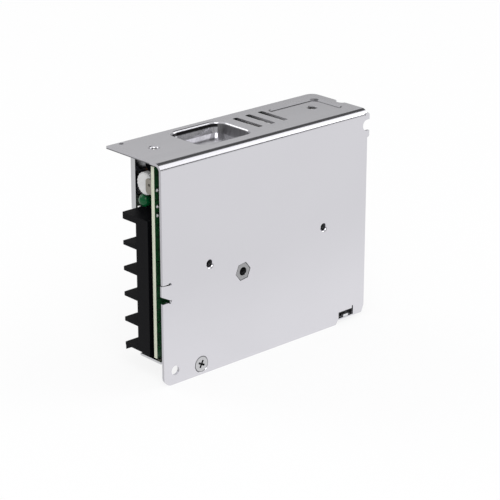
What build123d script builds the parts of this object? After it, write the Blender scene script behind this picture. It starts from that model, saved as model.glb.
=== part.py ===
from build123d import *
import os
from math import cos, radians, sin, sqrt, tan

os.makedirs("parts", exist_ok=True)

# The frame has X along the length with the terminals at the low end, Y out of the
# mounting plate towards the mesh and Z up. The origin is the middle of the plate's outer face.

# Folded chassis: mounting plate and side flange
plate_length = 98.0
plate_height = 81.0
case_depth = 30.0
sheet = 1.0
bend_inside = 1.9
plate_corner = 3.5
flange_corner = 3.0
ear_reach = 1.0
ear_height = 9.2
ear_drop = 6.0
notch_width = 4.2
notch_depth = 3.3
flange_notch_radius = 2.3
flange_notch_depth = 1.6
flange_notch_y = 14.0

# Tapped and plain holes of the chassis
thread_radius = 1.25
thread_collar_wall = 0.9
thread_collar = 1.6
thread_entry = 0.9
panel_hole_spacing = 55.0
side_hole_spacing = 75.0
side_hole_front = 11.0
side_hole_y = 16.8
corner_hole_radius = 1.75
corner_hole_inset = 5.1
pilot_radius = 0.8
pilot_front = 5.3
pilot_inset = 1.6

# Drawn pocket, vent slots and shallow recess of the flange
pocket_front = 24.5
pocket_length = 24.0
pocket_y = 7.0
pocket_width = 19.3
pocket_depth = 3.8
pocket_draft = 18.0
pocket_corner = 4.4
pocket_rim = 0.8
slot_count = 3
slot_first = 54.5
slot_pitch = 6.1
slot_width = 2.4
slot_y = 10.2
slot_length = 14.0
recess_front = 69.5
recess_length = 24.5
recess_y = 8.0
recess_width = 16.0
recess_depth = 0.6
recess_draft = 45.0
recess_corner = 2.5

# Bent tab between two slits on the front edge
tab_reach = 3.2
tab_low = 31.9
tab_high = 37.3
tab_slit = 0.5
tab_wedge = 1.6
tab_lower_slit = 0.9
tab_relief = 0.75
tab_angle = 14.0

# Relief and catch slot at the far lower corner
relief_run = 14.6
relief_rise = 1.6
relief_slope = 1.1
relief_corner_run = 1.2
relief_corner_rise = 4.4
catch_from_rear = 13.2
catch_length = 7.6
catch_low = 2.1
catch_height = 2.5
catch_slit = 0.6
catch_slit_rise = 1.0

# Perforated cover, one folded sheet
cover_sheet = 0.8
cover_bend = 0.7
cover_gap = 0.1
cover_front = 10.4
cover_lip = 3.4
cover_lip_low = 56.0
cover_top_lip = 2.2
cover_rear_margin = 4.8
cover_floor_margin = 7.7
cover_flange_low = 1.2
cover_flange_front = 9.0
cover_tab_front = 0.8
cover_tab_width = 13.8
cover_seam = 0.5
terminal_opening = 14.5
mesh_hole = 4.2
mesh_web = 1.05
mesh_margin = 4.2
rear_mesh_columns = 4
tongue_width = 2.4
tongue_height = 0.9
tongue_front_gap = 0.05
catch_window = 0.3
catch_window_beyond = 2.0
catch_frame = 0.8
catch_flap_lean = 32.0

# Cover screw and clinched standoff
screw_radius = 1.5
screw_clearance = 0.05
cover_screw_front = 17.1
cover_screw_low = 3.9
cover_screw_head = 2.95
head_clearance = 0.12
cover_screw_length = 5.0
recess_blade = 0.75
recess_span = 3.0
recess_sink = 0.8
standoff_front = 36.8
standoff_low = 33.7
standoff_hex = 6.0
standoff_turn = 8.0
standoff_body = 2.5
standoff_bevel = 0.2
board_screw_head = 2.75
board_screw_head_height = 1.9
board_screw_tip = 4.4

# Insulator film and circuit board
film_sheet = 0.4
film_setback = 0.3
film_top_gap = 0.2
film_step_low = 38.4
film_step_run = 4.5
film_clearance = 0.6
board_gap = 3.8
board_sheet = 1.6
board_setback = 1.0
board_rear_gap = 1.0
board_floor_gap = 0.6
board_top_gap = 1.0

# Five way barrier terminal block
way_count = 5
way_pitch = 9.5
way_first = 14.6
barrier = 1.4
low_end_wall = 1.1
high_end_wall = 2.4
block_front = 0.2
block_length = 12.4
block_undercut = 1.4
block_undercut_run = 2.0
block_lip_height = 7.8
block_seat_height = 6.8
block_lip = 1.2
block_height = 15.2
back_wall_front = 9.8
back_wall = 1.6
back_foot_height = 9.0
barb_height = 3.6
barb_reach = 1.6
barrier_nose = 0.5
contact_sheet = 0.8
contact_width = 7.4
contact_pin = 1.0
contact_pin_length = 2.6
screw_setback = 5.4
screw_head_radius = 2.8
screw_head_height = 1.9
screw_shank = 6.2
shank_bore = 1.7
shank_end_gap = 0.4
washer_size = 6.6
washer_sheet = 0.9
washer_rib = 0.5

# Voltage trimmer and indicator lamp
trimmer_low = 71.4
trimmer_axis = 4.8
knob_front = 1.8
knob_radius = 4.0
knob_length = 2.4
knob_edge = 0.4
knob_flutes = 20
knob_flute_radius = 0.35
knob_flute_depth = 0.2
knob_stem = 1.5
knob_gap = 0.3
trimmer_length = 4.4
trimmer_width = 6.8
trimmer_foot = 0.6
trimmer_lug_sheet = 0.6
trimmer_lug_reach = 3.0
trimmer_lug_height = 5.4
trimmer_lug_hole = 0.55
trimmer_hole_reach = 1.2
trimmer_hole_rise = 0.5
lamp_low = 64.8
lamp_axis = 6.4
lamp_front = 1.3
lamp_radius = 2.35
lamp_length = 8.2
lamp_rim = 0.4
lamp_rim_length = 1.0
lamp_lead = 0.5
lamp_lead_pitch = 2.54
lamp_lead_run = 1.6

# Parts on the mains side of the board
fuse_front = 17.0
fuse_low = 8.6
fuse_radius = 2.1
fuse_length = 11.0
fuse_cap = 2.2
fuse_waist = 0.9
thermistor_front = 23.2
thermistor_low = 7.4
thermistor_radius = 4.5
thermistor_thickness = 4.0
x_cap_front = 19.4
x_cap_low = 30.0
x_cap_length = 18.0
x_cap_width = 8.4
x_cap_height = 14.5
x_cap_corner = 0.8
x_cap_edge = 0.5
choke_front = 38.0
choke_low = 9.6
choke_length = 15.0
choke_height = 15.0
choke_depth = 5.0
choke_leg = 3.6
choke_winding_gap = 0.3
bridge_front = 58.0
bridge_low = 4.0
bridge_length = 14.5
bridge_width = 3.6
bridge_height = 10.5
bridge_leg = 0.9
bridge_leg_pitch = 3.81
bridge_stand = 1.6
bridge_key = 1.6
bulk_from_rear = 15.2
bulk_low = 12.6
bulk_radius = 9.0
bulk_height = 21.0
y_cap_front = 54.0
y_cap_pitch = 8.6
y_cap_low = 13.0
y_cap_radius = 3.6
y_cap_thickness = 3.0
sink_from_rear = 4.2
sink_low = 36.0
sink_width = 21.0
sink_height = 19.0
sink_sheet = 1.6
sink_screw_beyond = 1.0
control_from_rear = 7.0
control_low = 52.4
package_length = 9.6
package_width = 6.3
package_height = 3.4
package_stand = 0.5
package_pin = 0.5

# Transformer
core_from_rear = 27.6
core_low = 41.0
core_length = 25.4
core_span = 20.0
core_depth = 6.5
core_yoke = 3.3
core_height_mid = 9.4
winding_width = 17.6
winding_height = 16.4
winding_corner = 2.2
bobbin_wall = 0.9
bobbin_foot = 2.6
bobbin_foot_run = 4.0

# Output side: rectifier under the pocket, choke and smoothing capacitors
to220_width = 10.2
to220_body = 9.2
to220_total = 15.6
to220_thickness = 4.5
to220_tab = 1.3
to220_lead = 0.8
to220_pitch = 2.54
to220_stand = 3.2
to220_hole = 1.8
to220_hole_drop = 2.8
thermal_pad = 0.3
thermal_pad_inset = 1.0
thermal_pad_beside = 0.8
clip_sheet = 0.6
clip_spring = 2.2
clip_width = 6.0
output_cap_front = 19.6
output_cap_top = 6.2
output_cap_radius = 5.0
output_cap_pitch = 10.6
output_cap_height = 20.0
toroid_front = 36.0
toroid_low = 50.6
toroid_radius = 7.2
toroid_bore = 4.2
toroid_height = 6.4
toroid_wire = 1.0
toroid_gap = 60.0
coupler_front = 42.0
coupler_low = 31.0
coupler_length = 4.8
small_cap_height = 11.0
small_cap_radius = 3.15
slim_cap_radius = 2.5
small_cap_above = 10.8
small_cap_pitch = 8.4
filter_cap_front = 29.4
filter_cap_low = 34.0
resistor_radius = 1.2
resistor_length = 6.4
resistor_spots = ((29.0, 20.6), (29.0, 24.2), (45.6, 20.0), (45.6, 23.6))
can_bead = 0.5
can_groove = 2.2

# Soldered joints under the board
joint_radius = 0.75
joint_height = 1.0
joint_taper = 28.0
front_joint_inset = 1.4
front_joints_low = (61.6, 64.8, 70.6)
core_joint_run = 6.0
core_joint_rise = 8.0

# Datum planes worked out from the sizes above
front_x = -plate_length / 2
rear_x = plate_length / 2
base_z = -plate_height / 2
top_z = plate_height / 2
flange_reach = case_depth - cover_sheet - cover_gap
cover_rear_x = rear_x - cover_rear_margin
cover_floor_z = base_z + cover_floor_margin
cover_top_z = top_z - sheet - cover_gap
cover_inner_y = case_depth - cover_sheet
cover_bend_outside = cover_bend + cover_sheet
cover_flange_y = sheet + cover_gap
board_back_y = sheet + board_gap
board_face_y = board_back_y + board_sheet
board_front_x = front_x + board_setback
board_rear_x = cover_rear_x - cover_sheet - board_rear_gap
board_low_z = cover_floor_z + cover_sheet + board_floor_gap
board_high_z = top_z - sheet - board_top_gap
pocket_under_z = top_z - sheet - pocket_depth
screw_hole = screw_radius + screw_clearance


def outward(x, y, z):
    """Plane at a point with its normal along +Y, away from the mounting plate."""
    return Plane(origin=(x, y, z), x_dir=(1, 0, 0), z_dir=(0, 1, 0))


def endwise(x, y, z):
    """Plane at a point with its normal along +X and its own x axis along +Y."""
    return Plane(origin=(x, y, z), x_dir=(0, 1, 0), z_dir=(1, 0, 0))


def upward(x, y, z):
    """Plane at a point with its normal along +Z."""
    return Plane(origin=(x, y, z), x_dir=(1, 0, 0), z_dir=(0, 0, 1))


def edges_near(part, axis, point, reach=0.6):
    """Edges of a part that lie along an axis with their middle close to a point."""
    return part.edges().filter_by(axis).filter_by(lambda e: (e.center() - Vector(*point)).length < reach)


def finish(part, name):
    """Labels a finished piece and writes it."""
    part.label = name
    export_step(part, f"parts/{name}.step")


# Chassis: plate and flange folded from one sheet
panel_holes = [(-panel_hole_spacing / 2, 0.0), (panel_hole_spacing / 2, 0.0)]
side_holes = [(front_x + side_hole_front, side_hole_y),
              (front_x + side_hole_front + side_hole_spacing, side_hole_y)]
corner_hole = (front_x + corner_hole_inset, base_z + corner_hole_inset)
standoff_at = (front_x + standoff_front, base_z + standoff_low)
cover_screw_at = (front_x + cover_screw_front, base_z + cover_screw_low)
ear_z = top_z - ear_drop
tab_low_z = base_z + tab_low
tab_high_z = base_z + tab_high
tab_hinge_x = front_x + tab_reach
catch_front_x = rear_x - catch_from_rear
catch_low_z = base_z + catch_low
pocket_centre = (front_x + pocket_front + pocket_length / 2, pocket_y + pocket_width / 2)
pocket_skirt = sheet / cos(radians(pocket_draft)) - sheet * tan(radians(pocket_draft))
recess_centre = (front_x + recess_front + recess_length / 2, recess_y + recess_width / 2)
collar_radius = thread_radius + thread_collar_wall

with BuildPart() as chassis:
    with BuildSketch(Plane.YZ.offset(front_x)):
        with BuildLine():
            outside = FilletPolyline((0, base_z), (0, top_z), (flange_reach, top_z),
                                     radius=bend_inside + sheet)
            inside = FilletPolyline((sheet, base_z), (sheet, top_z - sheet), (flange_reach, top_z - sheet),
                                    radius=bend_inside)
            Line(outside @ 0, inside @ 0)
            Line(outside @ 1, inside @ 1)
        make_face()
    extrude(amount=plate_length)

    # Ears beside the open mounting notch
    with BuildSketch(Plane.XZ):
        with Locations((rear_x, ear_z)):
            Rectangle(2 * ear_reach, ear_height)
    extrude(amount=-sheet)
    for side in (-1, 1):
        ear_corner = (rear_x + ear_reach, sheet / 2, ear_z + side * ear_height / 2)
        fillet(edges_near(chassis, Axis.Y, ear_corner), radius=0.8 * ear_reach)
    fillet(edges_near(chassis, Axis.Y, (front_x, sheet / 2, base_z)), radius=plate_corner)
    fillet(edges_near(chassis, Axis.Z, (rear_x, flange_reach, top_z - sheet / 2)), radius=flange_corner)

    # Drawn pocket and shallow recess, first their undersides and then their hollows
    with BuildSketch(upward(*pocket_centre, top_z - sheet)):
        RectangleRounded(pocket_length + 2 * pocket_skirt, pocket_width + 2 * pocket_skirt,
                         pocket_corner + pocket_skirt)
    extrude(amount=-pocket_depth, taper=pocket_draft)
    with BuildSketch(upward(*pocket_centre, top_z)):
        RectangleRounded(pocket_length, pocket_width, pocket_corner)
    extrude(amount=-pocket_depth, taper=pocket_draft, mode=Mode.SUBTRACT)
    with BuildSketch(upward(*recess_centre, top_z - sheet)):
        RectangleRounded(recess_length, recess_width, recess_corner)
    extrude(amount=-recess_depth, taper=recess_draft)
    with BuildSketch(upward(*recess_centre, top_z)):
        RectangleRounded(recess_length, recess_width, recess_corner)
    extrude(amount=-recess_depth, taper=recess_draft, mode=Mode.SUBTRACT)
    pocket_rim_edges = chassis.edges().group_by(Axis.Z)[-1].filter_by(
        lambda e: abs(e.center().X - pocket_centre[0]) < pocket_length / 2 + sheet
        and abs(e.center().Y - pocket_centre[1]) < pocket_width / 2 + sheet)
    fillet(pocket_rim_edges, radius=pocket_rim)

    # Vent slots, pilot hole and edge notch of the flange
    with BuildSketch(upward(0, 0, top_z)):
        with Locations(*[(front_x + slot_first + slot_pitch * i, slot_y + slot_length / 2)
                         for i in range(slot_count)]):
            RectangleRounded(slot_width, slot_length, slot_width / 4)
        with Locations((front_x + pilot_front, flange_reach - pilot_inset)):
            Circle(pilot_radius)
        with Locations((rear_x + flange_notch_radius - flange_notch_depth, flange_notch_y)):
            Circle(flange_notch_radius)
    extrude(amount=-sheet, mode=Mode.SUBTRACT)

    # Collars of the tapped holes
    for x, z in panel_holes:
        with BuildSketch(outward(x, sheet, z)):
            Circle(collar_radius)
        extrude(amount=thread_collar)
    for (x, y), sink in zip(side_holes, (0.0, recess_depth)):
        with BuildSketch(upward(x, y, top_z - sheet - sink)):
            Circle(collar_radius)
        extrude(amount=-thread_collar)

    # Bores of the tapped holes, rounded where the punch went in
    for x, z in panel_holes:
        with BuildSketch(outward(x, 0, z)):
            Circle(thread_radius)
        extrude(amount=sheet + thread_collar, mode=Mode.SUBTRACT)
    for x, y in side_holes:
        with BuildSketch(upward(x, y, top_z)):
            Circle(thread_radius)
        extrude(amount=-(sheet + recess_depth + thread_collar), mode=Mode.SUBTRACT)
    entries = chassis.edges().filter_by(GeomType.CIRCLE).filter_by(
        lambda e: abs(e.radius - thread_radius) < 0.01
        and (abs(e.center().Y) < 0.01 or e.center().Z > top_z - recess_depth - 0.01))
    fillet(entries, radius=thread_entry)

    # Openings of the plate
    with BuildSketch(Plane.XZ):
        with Locations(corner_hole):
            Circle(corner_hole_radius)
        with Locations(standoff_at):
            RegularPolygon(standoff_hex / 2 + screw_clearance, 6, major_radius=False, rotation=standoff_turn)
        with Locations((rear_x + ear_reach - notch_depth + notch_width / 2, ear_z)):
            Circle(notch_width / 2)
        with Locations((rear_x + ear_reach, ear_z)):
            Rectangle(2 * notch_depth - notch_width, notch_width)
        with Locations((catch_front_x + catch_length / 2, catch_low_z + catch_height / 2)):
            Rectangle(catch_length, catch_height)
        with Locations((catch_front_x + catch_length - catch_slit / 2,
                        catch_low_z + (catch_height + catch_slit_rise) / 2)):
            Rectangle(catch_slit, catch_height + catch_slit_rise)
        with BuildLine():
            Polyline((rear_x - relief_run, base_z - sheet), (rear_x - relief_run, base_z),
                     (rear_x - relief_run + relief_slope, base_z + relief_rise),
                     (rear_x - relief_corner_run, base_z + relief_rise),
                     (rear_x, base_z + relief_corner_rise), (rear_x + sheet, base_z + relief_corner_rise),
                     (rear_x + sheet, base_z - sheet), close=True)
        make_face()
    extrude(amount=-sheet, mode=Mode.SUBTRACT)
    with BuildSketch(outward(cover_screw_at[0], 0, cover_screw_at[1])):
        Circle(cover_screw_head + head_clearance)
    extrude(amount=sheet, taper=45, mode=Mode.SUBTRACT)

    # Tab bent inwards between its two slits
    slit_low_z = tab_low_z - tab_lower_slit
    slit_high_z = tab_high_z + tab_slit
    with BuildSketch(Plane.XZ):
        with Locations((front_x + tab_reach / 2, (slit_low_z + slit_high_z) / 2)):
            Rectangle(tab_reach, slit_high_z - slit_low_z)
        with Locations((tab_hinge_x, slit_low_z + tab_relief / 2),
                       (tab_hinge_x, slit_high_z - tab_relief / 2)):
            Circle(tab_relief)
    extrude(amount=-sheet, mode=Mode.SUBTRACT)
    bent_run = tab_reach * cos(radians(tab_angle))
    bent_rise = tab_reach * sin(radians(tab_angle))
    edge_run = sheet * sin(radians(tab_angle))
    edge_rise = sheet * cos(radians(tab_angle))
    hinge_end_x = tab_hinge_x + tab_relief + edge_run
    with BuildSketch(upward(0, 0, tab_low_z)):
        with BuildLine():
            Polyline((hinge_end_x, 0), (tab_hinge_x, 0), (tab_hinge_x - bent_run, bent_rise),
                     (tab_hinge_x - bent_run + edge_run, bent_rise + edge_rise),
                     (tab_hinge_x + edge_run, edge_rise), (hinge_end_x, sheet), close=True)
        make_face()
    extrude(amount=tab_high_z - tab_low_z)
    with BuildSketch(Plane.XZ):
        with BuildLine():
            Polyline((tab_hinge_x, tab_low_z), (tab_hinge_x - tab_reach, tab_low_z),
                     (tab_hinge_x - tab_reach, tab_low_z + tab_wedge), close=True)
        make_face()
    extrude(amount=-(sheet + bent_rise), mode=Mode.SUBTRACT)
finish(chassis.part, "chassis")


# Mesh cover: far face, floor, rear wall and lips folded from one perforated sheet
cover_front_x = front_x + cover_front
opening_x = front_x + terminal_opening
lip_low_z = base_z + cover_lip_low
rear_wall_low_z = cover_floor_z + cover_bend_outside + cover_seam
rear_wall_high_z = cover_top_z - cover_bend_outside - cover_seam
mesh_pitch = mesh_hole + mesh_web
mesh_row = mesh_pitch * sqrt(3) / 2


def hex_centres(low_u, high_u, low_v, high_v):
    """Staggered hole centres that fit between two pairs of limits, centred in them."""
    rows = int((high_v - low_v) / mesh_row) + 1
    columns = int((high_u - low_u) / mesh_pitch) + 1
    first_v = (low_v + high_v - (rows - 1) * mesh_row) / 2
    centres = []
    for row in range(rows):
        count = columns - row % 2
        first_u = (low_u + high_u - (count - 1) * mesh_pitch) / 2
        centres += [(first_u + mesh_pitch * i, first_v + mesh_row * row) for i in range(count)]
    return centres


with BuildPart() as mesh_cover:
    with BuildSketch(Plane.YZ.offset(front_x + cover_tab_front)):
        with BuildLine():
            upper = FilletPolyline(
                (cover_flange_y, base_z + cover_flange_low),
                (cover_flange_y, cover_floor_z + cover_sheet),
                (cover_inner_y, cover_floor_z + cover_sheet),
                (cover_inner_y, cover_top_z - cover_sheet),
                (case_depth - cover_top_lip, cover_top_z - cover_sheet),
                radius=[cover_bend_outside, cover_bend, cover_bend])
            lower = FilletPolyline(
                (cover_flange_y + cover_sheet, base_z + cover_flange_low),
                (cover_flange_y + cover_sheet, cover_floor_z),
                (case_depth, cover_floor_z),
                (case_depth, cover_top_z),
                (case_depth - cover_top_lip, cover_top_z),
                radius=[cover_bend, cover_bend_outside, cover_bend_outside])
            Line(upper @ 0, lower @ 0)
            Line(upper @ 1, lower @ 1)
        make_face()
    extrude(amount=cover_rear_x - cover_bend_outside - front_x - cover_tab_front)

    # The far face starts behind the lip, and further back beside the terminals
    with BuildSketch(Plane.XZ.offset(-cover_tab_width)):
        with Locations((front_x + (cover_front + cover_bend_outside) / 2, 0)):
            Rectangle(cover_front + cover_bend_outside, plate_height)
        with Locations(((front_x + opening_x) / 2, (base_z + lip_low_z) / 2)):
            Rectangle(terminal_opening, lip_low_z - base_z)
    extrude(amount=-case_depth, mode=Mode.SUBTRACT)
    with BuildSketch(Plane.XZ):
        with Locations((front_x + cover_flange_front / 2, base_z + cover_floor_margin / 2)):
            Rectangle(cover_flange_front, cover_floor_margin + 2 * cover_sheet)
    extrude(amount=-(cover_flange_y + cover_bend_outside), mode=Mode.SUBTRACT)

    # Rear wall folded from the far face
    with BuildSketch(upward(0, 0, rear_wall_low_z)):
        with BuildLine():
            outer = FilletPolyline((cover_rear_x - 2 * cover_bend_outside, case_depth),
                                   (cover_rear_x, case_depth), (cover_rear_x, cover_flange_y),
                                   radius=cover_bend_outside)
            inner = FilletPolyline((cover_rear_x - 2 * cover_bend_outside, cover_inner_y),
                                   (cover_rear_x - cover_sheet, cover_inner_y),
                                   (cover_rear_x - cover_sheet, cover_flange_y), radius=cover_bend)
            Line(outer @ 0, inner @ 0)
            Line(outer @ 1, inner @ 1)
        make_face()
    extrude(amount=rear_wall_high_z - rear_wall_low_z)

    # Front lip folded from the far face beside the trimmer
    with BuildSketch(upward(0, 0, lip_low_z)):
        with BuildLine():
            outer = FilletPolyline((cover_front_x + 2 * cover_bend_outside, case_depth),
                                   (cover_front_x, case_depth), (cover_front_x, case_depth - cover_lip),
                                   radius=cover_bend_outside)
            inner = FilletPolyline((cover_front_x + 2 * cover_bend_outside, cover_inner_y),
                                   (cover_front_x + cover_sheet, cover_inner_y),
                                   (cover_front_x + cover_sheet, case_depth - cover_lip), radius=cover_bend)
            Line(outer @ 0, inner @ 0)
            Line(outer @ 1, inner @ 1)
        make_face()
    extrude(amount=rear_wall_high_z - lip_low_z)

    # Honeycomb holes of the far face and of the rear wall
    mesh_inset = mesh_margin + mesh_hole / 2
    with BuildSketch(Plane.XZ.offset(-cover_inner_y)):
        with Locations(*hex_centres(opening_x + mesh_inset, cover_rear_x - mesh_inset,
                                    cover_floor_z + mesh_inset, cover_top_z - mesh_inset)):
            RegularPolygon(mesh_hole / 2, 6, major_radius=False, rotation=30)
    extrude(amount=-cover_sheet, mode=Mode.SUBTRACT)
    rear_mesh_reach = (rear_mesh_columns - 1) * mesh_pitch
    rear_mesh_y = (board_face_y + case_depth) / 2
    with BuildSketch(endwise(cover_rear_x - cover_sheet, 0, 0)):
        with Locations(*hex_centres(rear_mesh_y - rear_mesh_reach / 2, rear_mesh_y + rear_mesh_reach / 2,
                                    cover_floor_z + mesh_inset, cover_top_z - mesh_inset)):
            RegularPolygon(mesh_hole / 2, 6, major_radius=False, rotation=30)
    extrude(amount=cover_sheet, mode=Mode.SUBTRACT)

    # Hole for the cover screw
    with BuildSketch(outward(cover_screw_at[0], 0, cover_screw_at[1])):
        Circle(screw_hole)
    extrude(amount=cover_flange_y + cover_sheet, mode=Mode.SUBTRACT)
    with BuildSketch(outward(cover_screw_at[0], 0, cover_screw_at[1])):
        Circle(cover_screw_head + head_clearance)
    extrude(amount=cover_screw_head - screw_radius, taper=45, mode=Mode.SUBTRACT)

    # Window behind the plate's slot, closed by a flap that leans inwards, and the tongue in the slot
    window_front_x = catch_front_x - catch_window
    window_rear_x = catch_front_x + catch_length + catch_window_beyond
    window_low_z = catch_low_z - catch_window
    window_high_z = catch_low_z + catch_height + catch_slit_rise + catch_window
    strip_front_x = cover_rear_x - cover_bend_outside
    strip_rear_x = window_rear_x + catch_frame
    flap_lean = (window_high_z - window_low_z) * tan(radians(catch_flap_lean))
    with BuildSketch(Plane.XZ.offset(-cover_flange_y)):
        with Locations(((strip_front_x + strip_rear_x) / 2, (base_z + cover_flange_low + window_high_z) / 2)):
            Rectangle(strip_rear_x - strip_front_x, window_high_z - base_z - cover_flange_low)
    extrude(amount=-cover_sheet)
    with BuildSketch(Plane.XZ.offset(-cover_flange_y)):
        with Locations(((window_front_x + window_rear_x) / 2, (window_low_z + window_high_z) / 2)):
            Rectangle(window_rear_x - window_front_x, window_high_z - window_low_z)
    extrude(amount=-cover_sheet, mode=Mode.SUBTRACT)
    with BuildSketch(Plane.YZ.offset(window_front_x)):
        with BuildLine():
            Polyline((cover_flange_y, window_low_z), (cover_flange_y + flap_lean, window_high_z),
                     (cover_flange_y + flap_lean + cover_sheet, window_high_z),
                     (cover_flange_y + cover_sheet, window_low_z), close=True)
        make_face()
    extrude(amount=window_rear_x - window_front_x)
    tongue_low_z = catch_low_z + cover_gap
    with BuildSketch(Plane.XZ.offset(-tongue_front_gap)):
        with Locations((catch_front_x + catch_length / 2, tongue_low_z + tongue_height / 2)):
            Rectangle(tongue_width, tongue_height)
    extrude(amount=-(cover_flange_y + cover_sheet - tongue_front_gap))
finish(mesh_cover.part, "mesh_cover")


# Insulator film on the inside of the plate
with BuildPart() as insulator_sheet:
    film_front_x = front_x + film_setback
    film_high_z = top_z - sheet - bend_inside - film_top_gap
    with BuildSketch(Plane.XZ.offset(-sheet)):
        with BuildLine():
            Polyline((film_front_x, film_high_z), (board_rear_x, film_high_z), (board_rear_x, board_low_z),
                     (film_front_x + film_step_run, board_low_z),
                     (film_front_x + film_step_run, base_z + film_step_low),
                     (film_front_x, base_z + film_step_low), close=True)
        make_face()
        with Locations(*panel_holes):
            Circle(collar_radius + film_clearance, mode=Mode.SUBTRACT)
        with Locations(standoff_at):
            Circle(standoff_body + film_clearance, mode=Mode.SUBTRACT)
    extrude(amount=-film_sheet)
finish(insulator_sheet.part, "insulator_sheet")


# Circuit board
with BuildPart() as circuit_board:
    with BuildSketch(Plane.XZ.offset(-board_back_y)):
        with Locations(((board_front_x + board_rear_x) / 2, (board_low_z + board_high_z) / 2)):
            Rectangle(board_rear_x - board_front_x, board_high_z - board_low_z)
        with Locations(standoff_at):
            Circle(screw_hole, mode=Mode.SUBTRACT)
    extrude(amount=-board_sheet)
finish(circuit_board.part, "circuit_board")


# Hex standoff clinched flush into the plate
with BuildPart() as board_standoff:
    with BuildSketch(Plane.XZ):
        with Locations(standoff_at):
            RegularPolygon(standoff_hex / 2, 6, major_radius=False, rotation=standoff_turn)
    extrude(amount=-sheet)
    chamfer(board_standoff.edges().group_by(Axis.Y)[0], length=standoff_bevel)
    with BuildSketch(outward(standoff_at[0], sheet, standoff_at[1])):
        Circle(standoff_body)
    extrude(amount=board_gap)
    with BuildSketch(outward(standoff_at[0], 0, standoff_at[1])):
        Circle(screw_hole)
    extrude(amount=sheet + board_gap, mode=Mode.SUBTRACT)
finish(board_standoff.part, "board_standoff")


def cross_recess(plane):
    """Cuts a cross recess for a screwdriver down from a plane."""
    with BuildSketch(plane) as cross:
        Rectangle(recess_span, recess_blade)
        Rectangle(recess_blade, recess_span)
    extrude(cross.sketch, amount=-recess_sink, mode=Mode.SUBTRACT)


# Screw that holds the board on the standoff
with BuildPart() as board_screw:
    with BuildSketch(outward(standoff_at[0], board_screw_tip, standoff_at[1])):
        Circle(screw_radius)
    extrude(amount=board_face_y - board_screw_tip)
    with BuildSketch(outward(standoff_at[0], board_face_y, standoff_at[1])):
        Circle(board_screw_head)
    extrude(amount=board_screw_head_height)
    fillet(board_screw.edges().group_by(Axis.Y)[-1], radius=0.4 * board_screw_head_height)
    cross_recess(outward(standoff_at[0], board_face_y + board_screw_head_height, standoff_at[1]))
finish(board_screw.part, "board_screw")


# Countersunk screw that holds the cover, flush with the plate
with BuildPart() as cover_screw:
    with BuildSketch(outward(cover_screw_at[0], 0, cover_screw_at[1])):
        Circle(cover_screw_head)
    extrude(amount=cover_screw_head - screw_radius, taper=45)
    with BuildSketch(outward(cover_screw_at[0], 0, cover_screw_at[1])):
        Circle(screw_radius)
    extrude(amount=cover_screw_length)
    with BuildSketch(Plane(origin=(cover_screw_at[0], 0, cover_screw_at[1]), x_dir=(1, 0, 0),
                           z_dir=(0, -1, 0))):
        Rectangle(recess_span, recess_blade)
        Rectangle(recess_blade, recess_span)
    extrude(amount=-recess_sink, mode=Mode.SUBTRACT)
finish(cover_screw.part, "cover_screw")


# Terminal block: moulded housing, contacts, clamp washers and screws
block_front_x = front_x + block_front
block_rear_x = block_front_x + block_length
screw_x = block_front_x + screw_setback
way_z = [base_z + way_first + way_pitch * i for i in range(way_count)]
block_low_z = way_z[0] - (way_pitch - barrier) / 2 - low_end_wall
block_high_z = way_z[-1] + (way_pitch - barrier) / 2 + high_end_wall
seat_y = board_face_y + block_seat_height
lip_y = board_face_y + block_lip_height
rim_y = board_face_y + block_height
contact_top_y = seat_y + contact_sheet
washer_top_y = contact_top_y + washer_sheet
back_wall_x = front_x + back_wall_front

with BuildPart() as terminal_housing:
    # The end view: undercut foot, lip, seat and back wall
    with BuildSketch(upward(0, 0, block_low_z)):
        with BuildLine():
            Polyline((block_front_x + block_undercut_run, board_face_y),
                     (block_front_x + block_undercut_run, board_face_y + block_undercut),
                     (block_front_x, board_face_y + block_undercut), (block_front_x, lip_y),
                     (block_front_x + block_lip, lip_y), (block_front_x + block_lip, seat_y),
                     (back_wall_x, seat_y), (back_wall_x, rim_y), (back_wall_x + back_wall, rim_y),
                     (back_wall_x + back_wall, board_face_y + back_foot_height),
                     (block_rear_x, board_face_y + back_foot_height), (block_rear_x, board_face_y),
                     close=True)
        make_face()
    extrude(amount=block_high_z - block_low_z)

    # Barriers between the ways and the two end walls
    fins = [(block_low_z, low_end_wall)]
    fins += [(z + (way_pitch - barrier) / 2, barrier) for z in way_z[:-1]]
    fins += [(block_high_z - high_end_wall, high_end_wall)]
    for fin_z, fin_sheet in fins:
        with BuildSketch(upward(0, 0, fin_z)):
            with BuildLine():
                FilletPolyline((back_wall_x + back_wall, seat_y), (back_wall_x + back_wall, rim_y),
                               (block_front_x, rim_y), (block_front_x, seat_y),
                               radius=[barrier_nose, barrier_nose], close=False)
                Line((block_front_x, seat_y), (back_wall_x + back_wall, seat_y))
            make_face()
        extrude(amount=fin_sheet)

    # Barb under the tip of the lower end wall
    with BuildSketch(endwise(block_front_x, 0, 0)):
        with BuildLine():
            Polyline((rim_y - barrier_nose, block_low_z), (rim_y - barrier_nose, block_low_z - barb_reach),
                     (rim_y - barb_height, block_low_z), close=True)
        make_face()
    extrude(amount=back_wall_front - block_front)

    # Blind bores below the contacts
    for z in way_z:
        with BuildSketch(outward(screw_x, seat_y, z)):
            Circle(shank_bore)
        extrude(amount=-(screw_shank - washer_sheet - contact_sheet + shank_end_gap), mode=Mode.SUBTRACT)
finish(terminal_housing.part, "terminal_housing")

with BuildPart() as terminal_contacts:
    contact_front_x = block_front_x + block_lip
    for z in way_z:
        with BuildSketch(outward((contact_front_x + back_wall_x) / 2, seat_y, z)):
            Rectangle(back_wall_x - contact_front_x, contact_width)
            with Locations((screw_x - (contact_front_x + back_wall_x) / 2, 0)):
                Circle(screw_hole, mode=Mode.SUBTRACT)
        extrude(amount=contact_sheet)
finish(terminal_contacts.part, "terminal_contacts")

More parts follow.
